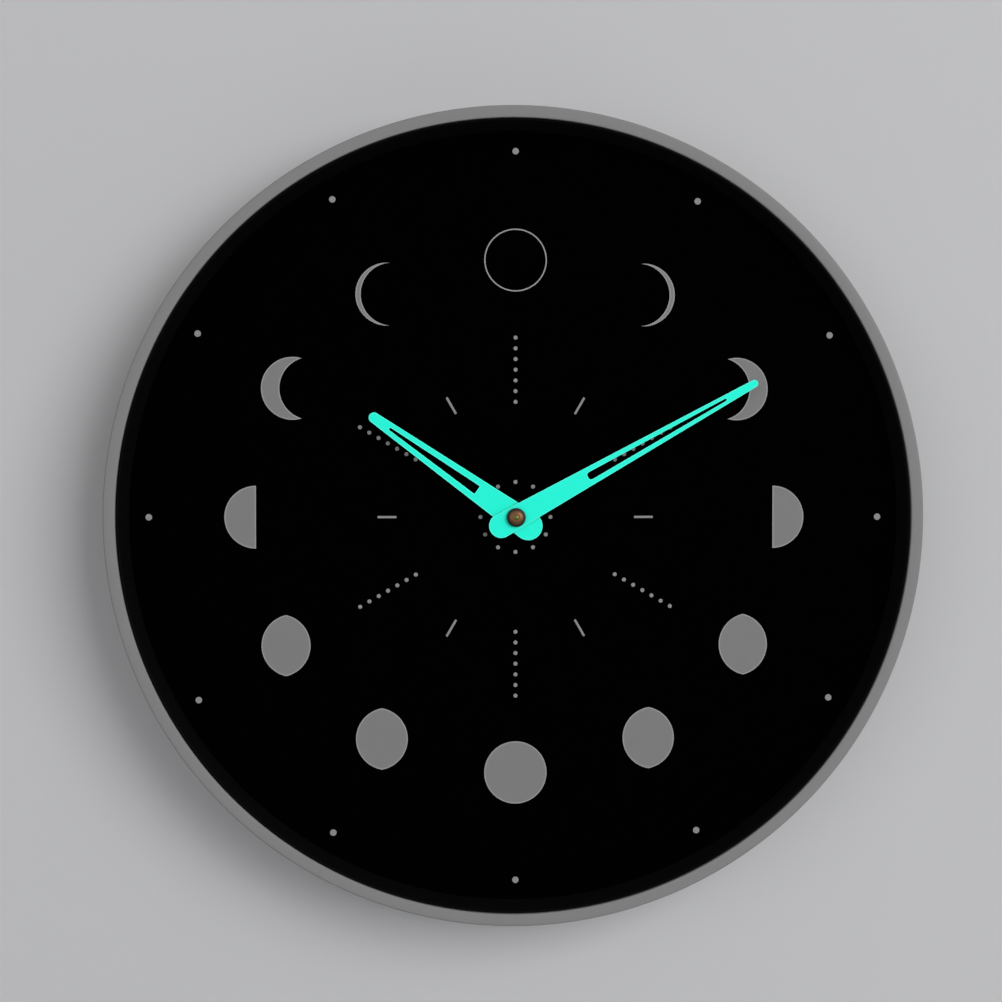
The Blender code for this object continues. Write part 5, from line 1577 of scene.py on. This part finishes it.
@dataclass
class LidSigns:
    """Raised signs on the movement's lid: plus and minus over the cell, an arrow by the knob."""

    relief: float = 0.0002
    stroke: float = 0.0006
    span: float = 0.0028
    sign_rise: float = 0.0042
    sign_inset: float = 0.0055
    arrow_radius: float = 0.0064
    arrow_start: float = math.radians(140)
    arrow_end: float = math.radians(48)
    arrow_tip: float = math.radians(30)
    head_width: float = 0.00192
    arrow_steps: int = 24

    THICKNESS_SHARE = 1.5  # a sign's thickness over its relief, so that its back sinks in
    BEVEL_SHARE = 0.25  # a sign's bevel over its relief

    def bars(self, place: Point, upright: bool) -> Array:
        """The outline of a minus, or of a plus where it has an upright bar.

        Args:
            place: The sign's centre.
            upright: Whether it is a plus.

        Returns:
            (x, z) rows.
        """
        a, b = self.stroke / 2, self.span / 2
        top, bottom = ([(a, a), (a, b), (-a, b), (-a, a)], [(-a, -a), (-a, -b), (a, -b), (a, -a)])
        rows = [(b, -a), (b, a), *(top if upright else []), (-b, a), (-b, -a)]
        return np.array(rows + (bottom if upright else [])) + np.array(place)

    def arrow(self, place: Point) -> Array:
        """The outline of an arrow that bends round a place.

        Args:
            place: The middle of its bend.

        Returns:
            (x, z) rows.
        """
        r, a, wide = self.arrow_radius, self.stroke / 2, self.head_width / 2
        start, end, steps = self.arrow_start, self.arrow_end, self.arrow_steps
        inner, outer = arc(r - a, start, end, steps, place), arc(r + a, end, start, steps, place)
        reach = np.array([r - wide, r, r + wide])[:, None]
        head = reach * rays(np.array([end, self.arrow_tip, end])) + np.array(place)
        return np.concatenate([inner, head, outer])

    def build(self) -> None:
        """Makes the three signs as one piece on the lid."""
        low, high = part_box("movement_lid")
        cell_low, cell_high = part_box("battery")
        row = low.z + self.sign_rise
        outlines = [
            self.bars((cell_high.x - self.sign_inset, row), True),
            self.bars((cell_low.x + self.sign_inset, row), False),
            self.arrow(axis_of("setting_knob")),
        ]
        flats = [
            Surface(in_space(line, high.y + self.relief), [list(range(len(line)))])
            for line in outlines
        ]
        thickness, bevel = self.relief * self.THICKNESS_SHARE, self.relief * self.BEVEL_SHARE
        surface = Surface.joined(flats)
        piece = make_plate("lid_signs", surface, SIGN_GREY, thickness, bevel, front=1.0)
        settle(piece, Body.CASE, "lid_grey")


# Studio

@dataclass(frozen=True)
class Lamp:
    """A soft square lamp that looks at the dial.

    Attributes:
        name: Its name.
        place: Where it stands, counted from the dial's centre.
        size: Its width and height.
        power: Its power in watts.
    """

    name: str
    place: Triple
    size: float
    power: float

    def build(self) -> None:
        """Makes the lamp and turns it to the dial's centre."""
        data = bpy.data.lights.new(self.name, "AREA")
        data.shape = "SQUARE"
        data.size = self.size
        data.energy = self.power
        lamp = bpy.data.objects.new(self.name, data)
        bpy.context.scene.collection.objects.link(lamp)
        lamp.visible_camera = False
        lamp.location = Vector(self.place) + Vector(DIAL_CENTRE)
        lamp.rotation_euler = (-Vector(self.place)).to_track_quat("-Z", "Y").to_euler()


@dataclass
class Studio:
    """A pale wall behind the clock, a pale floor far below, soft lamps and an even sky."""

    wall_gap: float = 0.0005
    wall_size: float = 8.0
    floor_drop: float = 1.5
    open_reach: float = 0.06
    pale: Triple = (0.52, 0.52, 0.53)
    pale_tone: float = 0.97
    cloud_scale: float = 6.0
    roughness: float = 0.9
    specular: float = 0.1
    floor_glow: float = 0.7
    sky: float = 0.33
    sky_pale: Triple = (0.80, 0.80, 0.81)
    lamps: tuple[Lamp, ...] = (
        Lamp("key", (1.9, -2.6, 0.9), 2.2, 81.0),
        Lamp("fill", (-1.4, -2.2, 0.3), 1.8, 10.0),
        Lamp("rear", (0.8, 2.0, 1.0), 2.8, 36.0),
        Lamp("rear_fill", (-1.2, 1.8, -0.2), 1.6, 12.0),
    )

    def plane(self, name: str, corners: list[Triple], material: Material) -> None:
        """Makes a flat part of the stage.

        Args:
            name: Its name.
            corners: Its four corners.
            material: Its material.
        """
        mesh = bpy.data.meshes.new(name)
        mesh.from_pydata(corners, [], [(0, 1, 2, 3)])
        mesh.materials.append(material)
        made = bpy.data.objects.new(name, mesh)
        bpy.context.scene.collection.objects.link(made)

    def plaster(self, name: str, is_wall: bool) -> Material:
        """Pale plaster for the wall or the floor.

        The wall lets through rays from behind, shadow rays and short reflections. The floor glows
        for the camera.

        Args:
            name: The material's name.
            is_wall: Whether it is the wall's.

        Returns:
            The material.
        """
        made = bpy.data.materials.new(name)
        made.use_nodes = True
        net = Net(made.node_tree)
        shader = made.node_tree.nodes["Principled BSDF"]
        place = net.add("TexCoord").outputs["Object"]
        clouds = net.noise(place, self.cloud_scale, detail=3.0)
        tone = tuple(value * self.pale_tone for value in self.pale)
        net.wire(shader, {
            "Base Color": net.mixed(clouds, self.pale, tone), "Roughness": self.roughness,
            "Specular IOR Level": self.specular,
        })
        path = net.add("LightPath").outputs
        if is_wall:
            other = net.add("BsdfTransparent")
            behind = net.add("NewGeometry").outputs["Backfacing"]
            near = net.maths("LESS_THAN", path["Ray Length"], self.open_reach)
            near = net.maths("MULTIPLY", near, path["Is Glossy Ray"])
            share = net.maths("MAXIMUM", behind, path["Is Shadow Ray"])
            share = net.maths("MAXIMUM", share, near)
        else:
            other = net.add("Emission", {"Color": (*self.pale, 1.0)})
            share = net.maths("MULTIPLY", path["Is Camera Ray"], self.floor_glow)
        net.swapped(share, shader, other, "Material Output")
        return made

    def world(self) -> None:
        """An even sky: pale for camera, glossy and transmission rays, dimmer for the rest."""
        world = bpy.data.worlds.new("studio_sky")
        bpy.context.scene.world = world
        world.use_nodes = True
        net = Net(world.node_tree)
        sky = world.node_tree.nodes["Background"]
        net.wire(sky, {"Color": (1.0, 1.0, 1.0, 1.0), "Strength": self.sky})
        pale = net.add("Background", {"Color": (*self.sky_pale, 1.0)})
        path = net.add("LightPath").outputs
        seen = net.maths("MAXIMUM", path["Is Camera Ray"], path["Is Glossy Ray"])
        seen = net.maths("MAXIMUM", seen, path["Is Transmission Ray"])
        net.swapped(seen, sky, pale, "World Output")

    def build(self) -> None:
        """Makes the wall, the floor, the sky and the lamps."""
        x, y, z = self.wall_size / 2, self.wall_gap, DIAL_CENTRE[2] - self.floor_drop
        wall = [(-x, y, z), (x, y, z), (x, y, x), (-x, y, x)]
        floor = [(-x, -x, z), (x, -x, z), (x, x, z), (-x, x, z)]
        self.plane("wall", wall, self.plaster("wall_plaster", True))
        self.plane("floor", floor, self.plaster("floor_pale", False))
        self.world()
        for lamp in self.lamps:
            lamp.build()


@dataclass(frozen=True)
class Viewpoint:
    """Where the photograph was taken from: near the dial's axis, a little left of it and above.

    Attributes:
        place: The camera's place, counted from the dial's centre.
        turns: Its yaw, pitch and roll in degrees, from looking along +Y.
        focal_pixels: Its focal length in pixels of the picture.
        frame_pixels: The picture's width.
        sensor: The sensor's width in millimetres.
        clip: The nearest and the farthest distance that it sees.
    """

    place: Triple = (-0.0295, -0.700, 0.0197)
    turns: Triple = (-2.054, -1.174, -0.013)
    focal_pixels: float = 1833.7
    frame_pixels: int = 1002
    sensor: float = 36.0
    clip: Point = (0.01, 50.0)

    def build(self) -> None:
        """Makes the camera and hands it to the scene."""
        data = bpy.data.cameras.new("camera")
        data.sensor_width = self.sensor
        data.lens = self.focal_pixels / self.frame_pixels * self.sensor
        data.clip_start, data.clip_end = self.clip
        camera = bpy.data.objects.new("camera", data)
        bpy.context.scene.collection.objects.link(camera)
        matrix = Matrix.Translation(Vector(self.place) + Vector(DIAL_CENTRE))
        for angle, axis in zip(self.turns, "ZXY"):
            matrix = matrix @ Matrix.Rotation(math.radians(angle), 4, axis)
        camera.matrix_world = matrix @ Matrix.Rotation(QUARTER, 4, "X")
        bpy.context.scene.camera = camera


def main() -> None:
    """Builds and dresses the clock, then the studio and the camera."""
    logging.basicConfig(level=logging.INFO, format="%(name)s %(message)s")
    bpy.context.scene.view_settings.view_transform = "Standard"
    minutes = 10.12
    parts = (
        CaseRing(), Bezel(), Dial(),
        Hand("hour_blade", Body.HOUR, "hour_hand", hours=10 + minutes / 60, length=0.0652,
             width=0.00994, taper=0.0963, front=-0.0308, hole=0.00275,
             slot=Slot(0.0173, 0.0564, 0.00348, 0.0010, 0.0005)),
        Hand("minute_blade", Body.MINUTE, "minute_hand", hours=minutes / 5, length=0.1014,
             width=0.0085, taper=0.0575, front=-0.0323, hole=0.0019,
             slot=Slot(0.0301, 0.0883, 0.00295, 0.0009, 0.0013)),
        CapNut(), HangerPlate(), HangerScrew("hanger_screw_left"),
        HangerScrew("hanger_screw_right"), SettingKnob(), Battery(), LidSigns(),
    )
    for part in parts:
        part.build()
    dress_nodes()
    Studio().build()
    Viewpoint().build()


if __name__ == "__main__":
    main()
